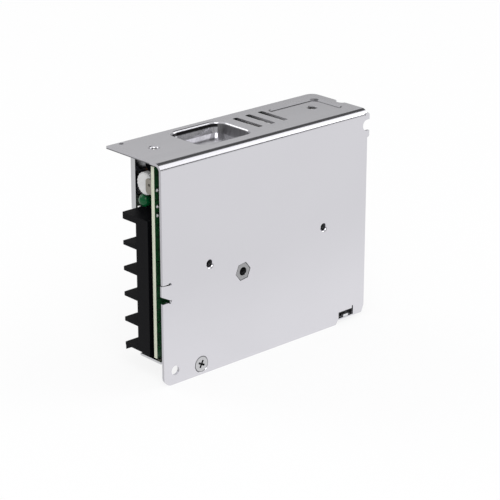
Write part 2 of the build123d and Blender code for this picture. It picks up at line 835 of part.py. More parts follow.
for way, z in enumerate(way_z, start=1):
    with BuildPart() as clamp_washer:
        with BuildSketch(outward(screw_x, contact_top_y, z)):
            RectangleRounded(washer_size, washer_size, washer_size / 8)
            Circle(screw_hole, mode=Mode.SUBTRACT)
        extrude(amount=washer_sheet)
        with BuildSketch(outward(screw_x, contact_top_y, z)):
            with Locations((washer_size / 3, 0), (-washer_size / 3, 0)):
                Rectangle(washer_rib, washer_size)
        extrude(amount=washer_rib / 2, mode=Mode.SUBTRACT)
    finish(clamp_washer.part, f"clamp_washer_{way}")

    with BuildPart() as terminal_screw:
        with BuildSketch(outward(screw_x, washer_top_y, z)):
            Circle(screw_head_radius)
        extrude(amount=screw_head_height)
        fillet(terminal_screw.edges().group_by(Axis.Y)[-1], radius=0.4 * screw_head_height)
        with BuildSketch(outward(screw_x, washer_top_y, z)):
            Circle(screw_radius)
        extrude(amount=-screw_shank)
        cross_recess(outward(screw_x, washer_top_y + screw_head_height, z))
    finish(terminal_screw.part, f"terminal_screw_{way}")


# Voltage trimmer: body on the board and a knob that turns about X
trimmer_z = base_z + trimmer_low
trimmer_y = board_face_y + trimmer_axis
knob_x = front_x + knob_front
trimmer_x = knob_x + knob_length + knob_gap

with BuildPart() as trimmer_body:
    with BuildSketch(endwise(trimmer_x, 0, 0)):
        with Locations((trimmer_y, trimmer_z)):
            Circle(trimmer_width / 2)
        with Locations(((board_face_y + trimmer_y) / 2, trimmer_z)):
            Rectangle(trimmer_axis, trimmer_width)
        with Locations((trimmer_y, trimmer_z)):
            Circle(knob_stem + screw_clearance, mode=Mode.SUBTRACT)
    extrude(amount=trimmer_length)

    # Foot under the knob and the lug in front of it
    with BuildSketch(endwise(board_front_x, 0, 0)):
        with Locations((board_face_y + trimmer_foot / 2, trimmer_z)):
            Rectangle(trimmer_foot, trimmer_lug_height)
    extrude(amount=trimmer_x - board_front_x)
    with BuildSketch(endwise(board_front_x, 0, 0)):
        with Locations((board_face_y + trimmer_lug_reach / 2, trimmer_z)):
            RectangleRounded(trimmer_lug_reach, trimmer_lug_height, 0.2 * trimmer_lug_height)
        with Locations((board_face_y + trimmer_hole_reach, trimmer_z + trimmer_hole_rise)):
            Circle(trimmer_lug_hole, mode=Mode.SUBTRACT)
    extrude(amount=trimmer_lug_sheet)
finish(trimmer_body.part, "trimmer_body")

with BuildPart() as trimmer_knob:
    with BuildSketch(endwise(knob_x, 0, 0)):
        with Locations((trimmer_y, trimmer_z)):
            Circle(knob_radius)
            with PolarLocations(knob_radius + knob_flute_radius - knob_flute_depth, knob_flutes):
                Circle(knob_flute_radius, mode=Mode.SUBTRACT)
    extrude(amount=knob_length)
    chamfer(trimmer_knob.edges().group_by(Axis.X)[0], length=knob_edge)
    with BuildSketch(endwise(knob_x + knob_length, 0, 0)):
        with Locations((trimmer_y, trimmer_z)):
            Circle(knob_stem)
    extrude(amount=knob_gap + trimmer_length)
finish(trimmer_knob.part, "trimmer_knob")


# Indicator lamp lying along X, its two leads bent down to the board
lamp_z = base_z + lamp_low
lamp_y = board_face_y + lamp_axis
lamp_front_x = front_x + lamp_front
lamp_base_x = lamp_front_x + lamp_length

with BuildPart() as indicator_lamp:
    with BuildSketch(upward(0, 0, lamp_z)):
        with BuildLine():
            dome = RadiusArc((lamp_front_x, lamp_y), (lamp_front_x + lamp_radius, lamp_y + lamp_radius),
                             lamp_radius)
            Polyline(dome @ 1, (lamp_base_x - lamp_rim_length, lamp_y + lamp_radius),
                     (lamp_base_x - lamp_rim_length, lamp_y + lamp_radius + lamp_rim),
                     (lamp_base_x, lamp_y + lamp_radius + lamp_rim), (lamp_base_x, lamp_y), dome @ 0)
        make_face()
    revolve(axis=Axis((0, lamp_y, lamp_z), (1, 0, 0)))
    for side in (-1, 1):
        lead_z = lamp_z + side * lamp_lead_pitch / 2
        with BuildSketch(upward(0, 0, lead_z - lamp_lead / 2)):
            with BuildLine():
                lead_end_x = lamp_base_x + lamp_lead_run
                Polyline((lamp_base_x, lamp_y - lamp_lead / 2),
                         (lead_end_x - lamp_lead, lamp_y - lamp_lead / 2),
                         (lead_end_x - lamp_lead, board_face_y), (lead_end_x, board_face_y),
                         (lead_end_x, lamp_y + lamp_lead / 2), (lamp_base_x, lamp_y + lamp_lead / 2),
                         close=True)
            make_face()
        extrude(amount=lamp_lead)
finish(indicator_lamp.part, "indicator_lamp")


# Places on the board, measured from its front, rear, lower and upper edges
def from_front(distance):
    """X of a part that is placed from the plate's front edge."""
    return front_x + distance


def from_rear(distance):
    """X of a part that is placed from the board's rear edge."""
    return board_rear_x - distance


def from_low(distance):
    """Z of a part that is placed from the board's lower edge."""
    return board_low_z + distance


# Fuse lying along Z
with BuildPart() as fuse:
    fuse_y = board_face_y + fuse_radius
    fuse_mid_z = from_low(fuse_low)
    for cap_z, cap_length, cap_radius in (
            (fuse_mid_z - fuse_length / 2, fuse_cap, fuse_radius),
            (fuse_mid_z - fuse_length / 2 + fuse_cap, fuse_length - 2 * fuse_cap, fuse_waist * fuse_radius),
            (fuse_mid_z + fuse_length / 2 - fuse_cap, fuse_cap, fuse_radius)):
        with BuildSketch(upward(from_front(fuse_front), fuse_y, cap_z)):
            Circle(cap_radius)
        extrude(amount=cap_length)
finish(fuse.part, "fuse")


# Inrush thermistor, a disc on edge
with BuildPart() as inrush_thermistor:
    thermistor_x = from_front(thermistor_front) - thermistor_thickness / 2
    thermistor_z = from_low(thermistor_low)
    with BuildSketch(endwise(thermistor_x, board_face_y + thermistor_radius, thermistor_z)):
        Circle(thermistor_radius)
    extrude(amount=thermistor_thickness)
    fillet(inrush_thermistor.edges(), radius=0.3 * thermistor_thickness)
finish(inrush_thermistor.part, "inrush_thermistor")


def moulded_box(x, z, length, width, height, corner):
    """A moulded block on the board: length along X, width along Z, with rounded upright edges."""
    with BuildSketch(outward(x, board_face_y, z)) as block:
        RectangleRounded(length, width, corner)
    extrude(block.sketch, amount=height)


# Interference capacitor across the mains, a moulded box
with BuildPart() as x_capacitor:
    moulded_box(from_front(x_cap_front), from_low(x_cap_low), x_cap_width, x_cap_length, x_cap_height,
                x_cap_corner)
    fillet(x_capacitor.edges().group_by(Axis.Y)[-1], radius=x_cap_edge)
finish(x_capacitor.part, "x_capacitor")


# Line choke: a ferrite frame with a winding on each upright leg
choke_x = from_front(choke_front)
choke_z = from_low(choke_low)
choke_mid_y = board_face_y + choke_height / 2
leg_offset = (choke_length - choke_leg) / 2
window_height = choke_height - 2 * choke_leg

with BuildPart() as line_choke_core:
    with BuildSketch(upward(choke_x, choke_mid_y, choke_z - choke_depth / 2)):
        Rectangle(choke_length, choke_height)
        Rectangle(choke_length - 2 * choke_leg, window_height, mode=Mode.SUBTRACT)
    extrude(amount=choke_depth)
finish(line_choke_core.part, "line_choke_core")

with BuildPart() as line_choke_windings:
    winding_build = leg_offset - choke_leg / 2 - choke_winding_gap
    for side in (-1, 1):
        with BuildSketch(outward(choke_x + side * leg_offset, choke_mid_y - window_height / 2, choke_z)):
            RectangleRounded(choke_leg + 2 * winding_build, choke_depth + 2 * winding_build, winding_build)
            Rectangle(choke_leg, choke_depth, mode=Mode.SUBTRACT)
        extrude(amount=window_height)
finish(line_choke_windings.part, "line_choke_windings")


# Bridge rectifier standing on four flat legs
with BuildPart() as bridge_rectifier:
    bridge_x = from_front(bridge_front)
    bridge_z = from_low(bridge_low)
    with BuildSketch(outward(bridge_x, board_face_y + bridge_stand, bridge_z)):
        Rectangle(bridge_length, bridge_width)
    extrude(amount=bridge_height)
    key_corner = (bridge_x - bridge_length / 2, board_face_y + bridge_stand + bridge_height, bridge_z)
    chamfer(edges_near(bridge_rectifier, Axis.Z, key_corner), length=bridge_key)
    with BuildSketch(outward(bridge_x, board_face_y, bridge_z)):
        with GridLocations(bridge_leg_pitch, 1, 4, 1):
            Rectangle(bridge_leg, 0.5 * bridge_leg)
    extrude(amount=bridge_stand)
finish(bridge_rectifier.part, "bridge_rectifier")


def electrolytic(x, z, radius, height):
    """A capacitor can on the board with the rolled groove near its foot."""
    groove_y = board_face_y + can_groove
    with BuildSketch(outward(x, board_face_y, z)) as can:
        Circle(radius)
    extrude(can.sketch, amount=height)
    with BuildSketch(outward(x, groove_y - can_bead / 2, z)) as groove:
        Circle(radius)
        Circle(radius - can_bead, mode=Mode.SUBTRACT)
    extrude(groove.sketch, amount=can_bead, mode=Mode.SUBTRACT)
    with BuildSketch(outward(x, board_face_y + height - can_bead / 2, z)) as lid:
        Circle(0.82 * radius)
    extrude(lid.sketch, amount=can_bead, mode=Mode.SUBTRACT)


with BuildPart() as bulk_capacitor:
    electrolytic(from_rear(bulk_from_rear), from_low(bulk_low), bulk_radius, bulk_height)
finish(bulk_capacitor.part, "bulk_capacitor")

output_cap_x = from_front(output_cap_front)
output_cap_z = board_high_z - output_cap_top
with BuildPart() as output_capacitors:
    for i in range(2):
        electrolytic(output_cap_x, output_cap_z - output_cap_pitch * i, output_cap_radius,
                     output_cap_height)
finish(output_capacitors.part, "output_capacitors")


# Small supply capacitors beside the control circuit and the output choke
with BuildPart() as small_capacitors:
    small_cap_z = from_low(control_low + small_cap_above)
    electrolytic(from_rear(control_from_rear), small_cap_z, small_cap_radius, small_cap_height)
    electrolytic(from_rear(control_from_rear + small_cap_pitch), small_cap_z, slim_cap_radius,
                 small_cap_height)
    electrolytic(from_front(filter_cap_front), from_low(filter_cap_low), small_cap_radius, small_cap_height)
finish(small_capacitors.part, "small_capacitors")


# Disc capacitors between the mains and the earth
with BuildPart() as y_capacitors:
    for i in range(2):
        with BuildSketch(upward(from_front(y_cap_front + y_cap_pitch * i), board_face_y + y_cap_radius,
                                from_low(y_cap_low) - y_cap_thickness / 2)):
            Circle(y_cap_radius)
        extrude(amount=y_cap_thickness)
finish(y_capacitors.part, "y_capacitors")


# Transformer: ferrite core, bobbin and taped winding
core_x = from_rear(core_from_rear)
core_z = from_low(core_low)
core_y = board_face_y + core_height_mid
window_span = core_span - 2 * core_yoke
limb = core_yoke * 2
window_width = (core_length - 2 * core_yoke - limb) / 2
with BuildPart() as transformer_core:
    with BuildSketch(outward(core_x, core_y - core_depth / 2, core_z)):
        Rectangle(core_length, core_span)
        with Locations(((limb + window_width) / 2, 0), (-(limb + window_width) / 2, 0)):
            Rectangle(window_width, window_span, mode=Mode.SUBTRACT)
    extrude(amount=core_depth)
finish(transformer_core.part, "transformer_core")

with BuildPart() as transformer_bobbin:
    flange_z = window_span / 2 - bobbin_wall
    for side_z in (core_z - window_span / 2, core_z + flange_z):
        with BuildSketch(upward(core_x, core_y, side_z)):
            Rectangle(winding_width, winding_height)
            Rectangle(limb, core_depth, mode=Mode.SUBTRACT)
        extrude(amount=bobbin_wall)
    with BuildSketch(upward(core_x, core_y, core_z - window_span / 2)):
        Rectangle(limb + 2 * bobbin_wall, core_depth + 2 * bobbin_wall)
        Rectangle(limb, core_depth, mode=Mode.SUBTRACT)
    extrude(amount=window_span)
    foot_height = core_height_mid - winding_height / 2
    for side in (-1, 1):
        foot_z = core_z + side * (window_span / 2 + bobbin_foot_run / 2 - bobbin_wall)
        with BuildSketch(outward(core_x, board_face_y, foot_z)):
            Rectangle(winding_width, bobbin_foot_run)
        extrude(amount=max(foot_height, bobbin_foot) + bobbin_wall)
finish(transformer_bobbin.part, "transformer_bobbin")

with BuildPart() as transformer_winding:
    with BuildSketch(upward(core_x, core_y, core_z - window_span / 2 + bobbin_wall)):
        RectangleRounded(winding_width - bobbin_wall, winding_height - bobbin_wall, winding_corner)
        Rectangle(limb + 2 * bobbin_wall, core_depth + 2 * bobbin_wall, mode=Mode.SUBTRACT)
    extrude(amount=window_span - 2 * bobbin_wall)
finish(transformer_winding.part, "transformer_winding")


def power_package(plane):
    """A power transistor on three legs: its metal back lies on the plane, which faces the body."""
    with BuildSketch(plane) as metal_back:
        with Locations((0, to220_stand + to220_total / 2)):
            Rectangle(to220_width, to220_total)
        with Locations((0, to220_stand + to220_total - to220_hole_drop)):
            Circle(to220_hole, mode=Mode.SUBTRACT)
    extrude(metal_back.sketch, amount=to220_tab)
    with BuildSketch(plane.offset(to220_tab)) as moulding:
        with Locations((0, to220_stand + to220_body / 2)):
            Rectangle(to220_width, to220_body)
    extrude(moulding.sketch, amount=to220_thickness - to220_tab, taper=4)
    with BuildSketch(plane.offset(to220_thickness / 2)) as leads:
        with Locations((0, (to220_stand + to220_lead) / 2)):
            with GridLocations(to220_pitch, 1, 3, 1):
                Rectangle(to220_lead, to220_stand + to220_lead)
    extrude(leads.sketch, amount=to220_lead / 2)


# Output rectifier against the underside of the pocket, with its pad and spring clip
rectifier_x = pocket_centre[0]
rectifier_z = pocket_under_z - thermal_pad
with BuildPart() as output_rectifier:
    power_package(Plane(origin=(rectifier_x, board_face_y, rectifier_z), x_dir=(-1, 0, 0), z_dir=(0, 0, -1)))
finish(output_rectifier.part, "output_rectifier")

pocket_floor_y = pocket_y + pocket_depth * tan(radians(pocket_draft))
with BuildPart() as pad:
    pad_low_y = max(board_face_y + to220_stand, pocket_floor_y)
    pad_high_y = board_face_y + to220_stand + to220_total - thermal_pad_inset
    with BuildSketch(upward(rectifier_x, (pad_low_y + pad_high_y) / 2, rectifier_z)):
        Rectangle(to220_width + 2 * thermal_pad_beside, pad_high_y - pad_low_y)
    extrude(amount=thermal_pad)
finish(pad.part, "thermal_pad")

with BuildPart() as rectifier_clip:
    clip_y = board_face_y + to220_stand + to220_body / 2
    face_z = rectifier_z - to220_thickness
    slot_x = front_x + slot_first
    arm_z = face_z - clip_spring
    press_z = face_z - clip_sheet / 2
    with BuildSketch(Plane.XZ.offset(-(clip_y - clip_width / 2))):
        with BuildLine():
            FilletPolyline((slot_x, top_z - sheet / 2), (slot_x, arm_z + clip_spring),
                           (slot_x - 2 * clip_spring, arm_z), (rectifier_x + 2 * clip_spring, arm_z),
                           (rectifier_x + clip_spring, press_z), (rectifier_x - clip_spring, press_z),
                           radius=[1.0, 1.2, 1.2, 0.8])
        trace(line_width=clip_sheet)
    extrude(amount=-clip_width)
finish(rectifier_clip.part, "rectifier_clip")


# Switching transistor on its own upright sheet
sink_x = from_rear(sink_from_rear)
sink_z = from_low(sink_low)
tab_hole_y = board_face_y + to220_stand + to220_total - to220_hole_drop
with BuildPart() as heatsink:
    with BuildSketch(outward(sink_x, board_face_y, sink_z)):
        Rectangle(sink_sheet, sink_width)
    extrude(amount=sink_height)
    with BuildSketch(endwise(sink_x - sink_sheet / 2, tab_hole_y, sink_z)):
        Circle(screw_hole)
    extrude(amount=sink_sheet, mode=Mode.SUBTRACT)
finish(heatsink.part, "transistor_heatsink")

with BuildPart() as switching_transistor:
    power_package(Plane(origin=(sink_x - sink_sheet / 2, board_face_y, sink_z),
                        x_dir=(0, 0, 1), z_dir=(-1, 0, 0)))
finish(switching_transistor.part, "switching_transistor")

with BuildPart() as transistor_screw:
    tab_face_x = sink_x - sink_sheet / 2 - to220_tab
    with BuildSketch(endwise(tab_face_x - board_screw_head_height, tab_hole_y, sink_z)):
        Circle(board_screw_head)
    extrude(amount=board_screw_head_height)
    with BuildSketch(endwise(tab_face_x, tab_hole_y, sink_z)):
        Circle(screw_radius)
    extrude(amount=to220_tab + sink_sheet + sink_screw_beyond)
finish(transistor_screw.part, "transistor_screw")


def dual_inline(x, z, length, legs):
    """A small moulded circuit with two rows of legs."""
    with BuildSketch(outward(x, board_face_y + package_stand, z)) as body:
        Rectangle(length, package_width)
    extrude(body.sketch, amount=package_height)
    with BuildSketch(outward(x, board_face_y, z)) as pins:
        with GridLocations(to220_pitch, package_width + to220_lead / 2, legs, 2):
            Rectangle(package_pin, to220_lead)
    extrude(pins.sketch, amount=package_stand + package_height / 2)


with BuildPart() as control_circuit:
    dual_inline(from_rear(control_from_rear), from_low(control_low), package_length, 4)
finish(control_circuit.part, "control_circuit")

with BuildPart() as optocoupler:
    dual_inline(from_front(coupler_front), from_low(coupler_low), coupler_length, 2)
finish(optocoupler.part, "optocoupler")


# Output choke: ferrite ring lying flat, wound most of the way round
toroid_x = from_front(toroid_front)
toroid_z = from_low(toroid_low)
toroid_y = board_face_y + toroid_wire + toroid_height / 2
ring_mid = (toroid_radius + toroid_bore) / 2
ring_width = toroid_radius - toroid_bore
with BuildPart() as output_choke_core:
    with BuildSketch(outward(toroid_x, toroid_y - toroid_height / 2, toroid_z)):
        Circle(toroid_radius)
        Circle(toroid_bore, mode=Mode.SUBTRACT)
    extrude(amount=toroid_height)
finish(output_choke_core.part, "output_choke_core")

with BuildPart() as output_choke_winding:
    with BuildSketch(upward(toroid_x, toroid_y, toroid_z)):
        with Locations((ring_mid, 0)):
            RectangleRounded(ring_width + 2 * toroid_wire, toroid_height + 2 * toroid_wire,
                             0.9 * toroid_wire)
            Rectangle(ring_width, toroid_height, mode=Mode.SUBTRACT)
    revolve(axis=Axis((toroid_x, 0, toroid_z), (0, 1, 0)), revolution_arc=360 - toroid_gap)
finish(output_choke_winding.part, "output_choke_winding")


# Resistors lying on the board
with BuildPart() as resistors:
    for distance, height in resistor_spots:
        with BuildSketch(endwise(from_front(distance) - resistor_length / 2, board_face_y + resistor_radius,
                                 from_low(height))):
            Circle(resistor_radius)
        extrude(amount=resistor_length)
finish(resistors.part, "resistors")


# Soldered joints on the back of the board
joint_spots = [(board_front_x + front_joint_inset, base_z + low) for low in front_joints_low]
joint_spots += [(screw_x, z) for z in way_z]
joint_spots += [(output_cap_x + side * output_cap_radius / 2, output_cap_z - output_cap_pitch * i)
                for i in range(2) for side in (-1, 1)]
joint_spots += [(from_rear(bulk_from_rear) + side * bulk_radius / 2, from_low(bulk_low))
                for side in (-1, 1)]
joint_spots += [(core_x + side * core_joint_run, core_z + end * core_joint_rise)
                for side in (-1, 1) for end in (-1, 1)]
joint_spots += [(bridge_x + bridge_leg_pitch * (i - 1.5), bridge_z) for i in range(4)]
joint_spots += [(rectifier_x + to220_pitch * i, rectifier_z - to220_thickness / 2) for i in (-1, 0, 1)]
with BuildPart() as solder_joints:
    for x, z in joint_spots:
        with BuildSketch(outward(x, board_back_y, z)):
            Circle(joint_radius)
        extrude(amount=-joint_height, taper=joint_taper)
finish(solder_joints.part, "solder_joints")
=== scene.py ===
import math
import bmesh
import bpy
import numpy as np
from mathutils import Matrix, Vector


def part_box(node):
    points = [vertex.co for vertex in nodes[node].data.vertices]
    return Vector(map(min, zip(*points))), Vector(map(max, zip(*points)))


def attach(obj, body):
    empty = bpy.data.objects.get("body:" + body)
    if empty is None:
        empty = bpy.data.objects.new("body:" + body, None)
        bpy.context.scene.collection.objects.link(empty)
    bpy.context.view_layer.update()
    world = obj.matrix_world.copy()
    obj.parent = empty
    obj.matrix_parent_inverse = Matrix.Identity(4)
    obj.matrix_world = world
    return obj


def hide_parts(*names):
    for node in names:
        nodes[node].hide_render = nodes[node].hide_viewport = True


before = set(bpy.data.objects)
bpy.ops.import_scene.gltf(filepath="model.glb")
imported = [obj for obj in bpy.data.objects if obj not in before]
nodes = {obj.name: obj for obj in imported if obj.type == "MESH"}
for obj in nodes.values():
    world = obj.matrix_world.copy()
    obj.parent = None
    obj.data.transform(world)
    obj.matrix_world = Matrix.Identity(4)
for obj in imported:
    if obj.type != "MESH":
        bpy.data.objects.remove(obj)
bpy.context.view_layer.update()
scene = bpy.context.scene
scene.view_settings.view_transform = "Standard"
print("frame loaded:", len(nodes), "nodes")

# Camera, fitted to the plate's corners and holes in the photograph
shot = {
    "azimuth": 42.29,           # degrees round from looking along +Y
    "elevation": 20.64,         # degrees above the horizon
    "roll": 0.03,
    "distance": 0.6926,         # metres from the aim
    "aim": (0.0, 0.015, 0.0),
    "slideRight": 0.00348,
    "slideUp": -0.00563,
    "lens": 138.29,             # on a 36 mm sensor
}


def addCamera():
    a, e = math.radians(shot["azimuth"]), math.radians(shot["elevation"])
    look = Vector((math.sin(a) * math.cos(e), math.cos(a) * math.cos(e), -math.sin(e)))
    right = look.cross(Vector((0, 0, 1))).normalized()
    up = right.cross(look)
    place = Vector(shot["aim"]) + right * shot["slideRight"] + up * shot["slideUp"] - look * shot["distance"]
    turn = Matrix((right, up, -look)).transposed() @ Matrix.Rotation(math.radians(shot["roll"]), 3, "Z")
    data = bpy.data.cameras.new("shotCamera")
    data.lens, data.sensor_width = shot["lens"], 36
    data.clip_start, data.clip_end = 0.05, 20
    camera = bpy.data.objects.new("shotCamera", data)
    camera.matrix_world = Matrix.Translation(place) @ turn.to_4x4()
    scene.collection.objects.link(camera)
    scene.camera = camera


addCamera()
print("camera placed")


# A tint made darker or lighter by a share
def scaled(tint, share):
    return tuple(min(1.0, c * share) for c in tint)


# One output socket of a shader tree, so that shader maths reads as plain expressions
class Link:
    def __init__(self, tree, socket=None):
        self.tree, self.socket = tree, socket

    # Any node: its type, its settings, the values or links of its sockets, and which output is wanted
    def make(self, kind, setup=None, inputs=None, output=0):
        node = self.tree.nodes.new(kind)
        for key, value in (setup or {}).items():
            if key == "stops":
                stops = node.color_ramp.elements
                while len(stops) < len(value):
                    stops.new(0.5)
                for stop, (place, colour) in zip(stops, value):
                    stop.position, stop.color = place, (*colour, 1)
            else:
                setattr(node, key, value)
        for key, value in (inputs or {}).items():
            if isinstance(value, Link):
                self.tree.links.new(value.socket, node.inputs[key])
            else:
                node.inputs[key].default_value = value
        return Link(self.tree, node.outputs[output] if len(node.outputs) else None)

    def maths(self, operation, *others):
        return self.make("ShaderNodeMath", {"operation": operation}, dict(enumerate((self, *others))))

    def __add__(self, other):
        return self.maths("ADD", other)

    def __sub__(self, other):
        return self.maths("SUBTRACT", other)

    def __rsub__(self, other):
        return self.make("ShaderNodeMath", {"operation": "SUBTRACT"}, {0: other, 1: self})

    def __mul__(self, other):
        return self.maths("MULTIPLY", other)

    __radd__, __rmul__ = __add__, __mul__

    # The three parts of a vector
    def parts(self, vector):
        split = self.make("ShaderNodeSeparateXYZ", None, {0: vector})
        return [Link(self.tree, split.socket.node.outputs[axis]) for axis in range(3)]

    # 0 below the first value and 1 above the second, with a smooth step between
    def step(self, value, low, high):
        return self.make("ShaderNodeMapRange", {"interpolation_type": "SMOOTHSTEP"},
                         {"Value": value, "From Min": low, "From Max": high})

    # The first colour where the share is 0 and the second where it is 1
    def mix(self, share, first, second):
        ends = [(*c, 1) if isinstance(c, tuple) else c for c in (first, second)]
        return self.make("ShaderNodeMix", {"data_type": "RGBA"}, {0: share, 6: ends[0], 7: ends[1]}, output=2)

    # A tint, darkened by a share where the cloud is 0
    def worn(self, cloud, tint, share):
        return self.mix(cloud, scaled(tint, share), tint)

    # 1 for rays that come from the camera, from a mirroring face and through a clear one
    def rays(self):
        paths = self.make("ShaderNodeLightPath").socket.node.outputs
        return [Link(self.tree, paths[f"Is {kind} Ray"]) for kind in ("Camera", "Glossy", "Transmission")]


# A finish's starting point: the place on the piece in millimetres, its noises and the shader itself
class Surface(Link):
    def __init__(self, name):
        self.material = bpy.data.materials.new(name)
        self.material.use_nodes = True
        super().__init__(self.material.node_tree)
        self.tree.nodes.clear()
        metres = self.make("ShaderNodeTexCoord", output="Object")
        self.place = self.make("ShaderNodeVectorMath", {"operation": "SCALE"}, {0: metres, "Scale": 1000.0})

    # Cloudy noise, with so many waves a millimetre along each axis
    def noise(self, waves, detail=3.0, rough=0.5):
        scale = waves if isinstance(waves, tuple) else (waves,) * 3
        place = self.make("ShaderNodeVectorMath", {"operation": "MULTIPLY"}, {0: self.place, 1: scale})
        return self.make("ShaderNodeTexNoise", None,
                         {"Vector": place, "Scale": 1.0, "Detail": detail, "Roughness": rough})

    # A height between 0 and 1, raised by so many millimetres
    def bump(self, height, depth):
        return self.make("ShaderNodeBump", None,
                         {"Height": height, "Distance": depth / 1000, "Strength": 1.0})

    # The place on a revolved piece: across, across and along it, each as a share of its size
    def spot(self):
        return self.parts(self.make("ShaderNodeAttribute", {"attribute_name": "spot"}, output="Vector"))

    # The shader: its sockets in camelCase, such as baseColor for Base Color, and others by their own names
    def shade(self, others=None, **sockets):
        values = dict(others or {})
        for key, value in sockets.items():
            name = key[0].upper() + "".join(" " + c if c.isupper() else c for c in key[1:])
            values[name] = (*value, 1) if isinstance(value, tuple) and len(value) == 3 else value
        shader = self.make("ShaderNodeBsdfPrincipled", None, values)
        self.make("ShaderNodeOutputMaterial", None, {"Surface": shader})
        return self.material


# Studio: white around the object, brighter and darker bands for the metal to mirror
studio = {
    "soft": 0.74,                # light that falls on everything from all round
    # Sine of the height and the brightness there: on the camera's side, on the far side and elsewhere
    "nearBands": ((0.0, 0.92), (0.16, 0.92), (0.20, 0.05), (0.31, 0.05), (0.36, 1.45), (0.90, 1.45),
                  (1.0, 0.8)),
    "farBands": ((0.0, 0.30), (0.10, 0.12), (0.22, 0.16), (0.29, 0.70), (0.45, 0.66), (0.54, 0.08),
                 (0.80, 0.09), (0.86, 0.8), (1.0, 0.8)),
    "plainBands": ((0.0, 0.55), (0.2, 0.40), (0.45, 0.62), (0.75, 0.80), (1.0, 0.72)),
    "turnOver": (-0.14, -0.04),  # where along Y the near bands give way to the far ones
    "bandsAlong": 0.63,          # where along X both of these lie
    "bandsWide": (0.09, 0.14),   # how far from there they begin and end to fade into the plain ones
    "keyPlace": (-0.9, -1.3, 1.6), "keySize": 1.3, "keyPower": 15.0,
    "fillPlace": (1.6, -0.7, 0.7), "fillSize": 1.2, "fillPower": 6.0,
    "backPlace": (-0.6, 1.7, 1.1), "backSize": 1.3, "backPower": 7.0,
}
floor = {"level": -0.04055, "reach": 3.0, "tint": (0.93, 0.93, 0.935), "cloud": 0.99, "ownWhite": 0.82}


def addWorld():
    world = bpy.data.worlds.new("studio")
    world.use_nodes = True
    scene.world = world
    sky = Link(world.node_tree)
    sky.tree.nodes.clear()
    along, side, height = sky.parts(sky.make("ShaderNodeTexCoord", output="Generated"))
    bands = []
    for name in ("nearBands", "farBands", "plainBands"):
        stops = [(sine, (value / 2,) * 3) for sine, value in studio[name]]  # halved, as a ramp ends at 1
        bands.append(sky.make("ShaderNodeValToRGB", {"stops": stops}, {"Fac": height}))
    near, far, plain = bands
    both = sky.mix(sky.step(side, *studio["turnOver"]), near, far)
    aside = (along - studio["bandsAlong"]).maths("ABSOLUTE")
    every = sky.mix(sky.step(aside, *studio["bandsWide"]), both, plain)
    bright = sky.make("ShaderNodeSeparateColor", None, {0: every}) * 2.0
    camera, glossy, through = sky.rays()
    white = (camera + through).maths("MINIMUM", 1.0)
    strength = white + (1.0 - white) * (glossy * bright + (1.0 - glossy) * studio["soft"])
    light = sky.make("ShaderNodeBackground", None, {"Color": (1, 1, 1, 1), "Strength": strength})
    sky.make("ShaderNodeOutputWorld", None, {"Surface": light})


def addLamp(name, place, size, power):
    data = bpy.data.lights.new(name, "AREA")
    data.shape, data.size, data.energy = "DISK", size, power
    lampPiece = bpy.data.objects.new(name, data)
    lampPiece.location = place
    lampPiece.rotation_euler = (-Vector(place)).to_track_quat("-Z", "Y").to_euler()
    scene.collection.objects.link(lampPiece)


# Matt to the light, and of its own even white to the camera and to what mirrors it
def addFloor():
    reach, level = floor["reach"], floor["level"]
    corners = [(x * reach, y * reach, level) for x, y in ((-1, -1), (1, -1), (1, 1), (-1, 1))]
    mesh = bpy.data.meshes.new("studioFloor")
    mesh.from_pydata(corners, [], [(0, 1, 2, 3)])
    piece = bpy.data.objects.new("studioFloor", mesh)
    scene.collection.objects.link(piece)
    paint = Surface("floorPaint")
    camera, glossy, through = paint.rays()
    seen = (camera + glossy + through) * floor["ownWhite"]
    grain = paint.mix(paint.noise(0.02), floor["tint"], scaled(floor["tint"], floor["cloud"]))
    matt = paint.make("ShaderNodeBsdfDiffuse", None, {"Color": grain})
    glow = paint.make("ShaderNodeEmission", None, {"Color": (1, 1, 1, 1), "Strength": 1.0})
    both = paint.make("ShaderNodeMixShader", None, {0: seen, 1: matt, 2: glow})
    paint.make("ShaderNodeOutputMaterial", None, {"Surface": both})
    mesh.materials.append(paint.material)


addWorld()
for lampName in ("key", "fill", "back"):
    addLamp(lampName + "Lamp", *(studio[lampName + part] for part in ("Place", "Size", "Power")))
addFloor()
print("studio ready")


# New pieces are built in millimetres from the boxes of the nodes that they stand for
def box(node):
    return [np.array(corner) * 1000 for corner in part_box(node)]


def merged(node):
    mesh = bmesh.new()
    mesh.from_mesh(nodes[node].data)
    bmesh.ops.remove_doubles(mesh, verts=mesh.verts, dist=1e-6)
    return mesh


# The box of each separate solid of a node, found by walking from point to point
def solids(node):
    mesh = merged(node)
    left, found = set(mesh.verts), []
    while left:
        ends, group = [left.pop()], []
        while ends:
            point = ends.pop()
            group.append(point.co[:])
            near = {edge.other_vert(point) for edge in point.link_edges} & left
            left -= near
            ends.extend(near)
        found.append((np.min(group, axis=0) * 1000, np.max(group, axis=0) * 1000))
    mesh.free()
    return sorted(found, key=lambda pair: tuple(np.round(pair[0], 2)))


def unit(vectors):
    return vectors / np.linalg.norm(vectors, axis=-1, keepdims=True)


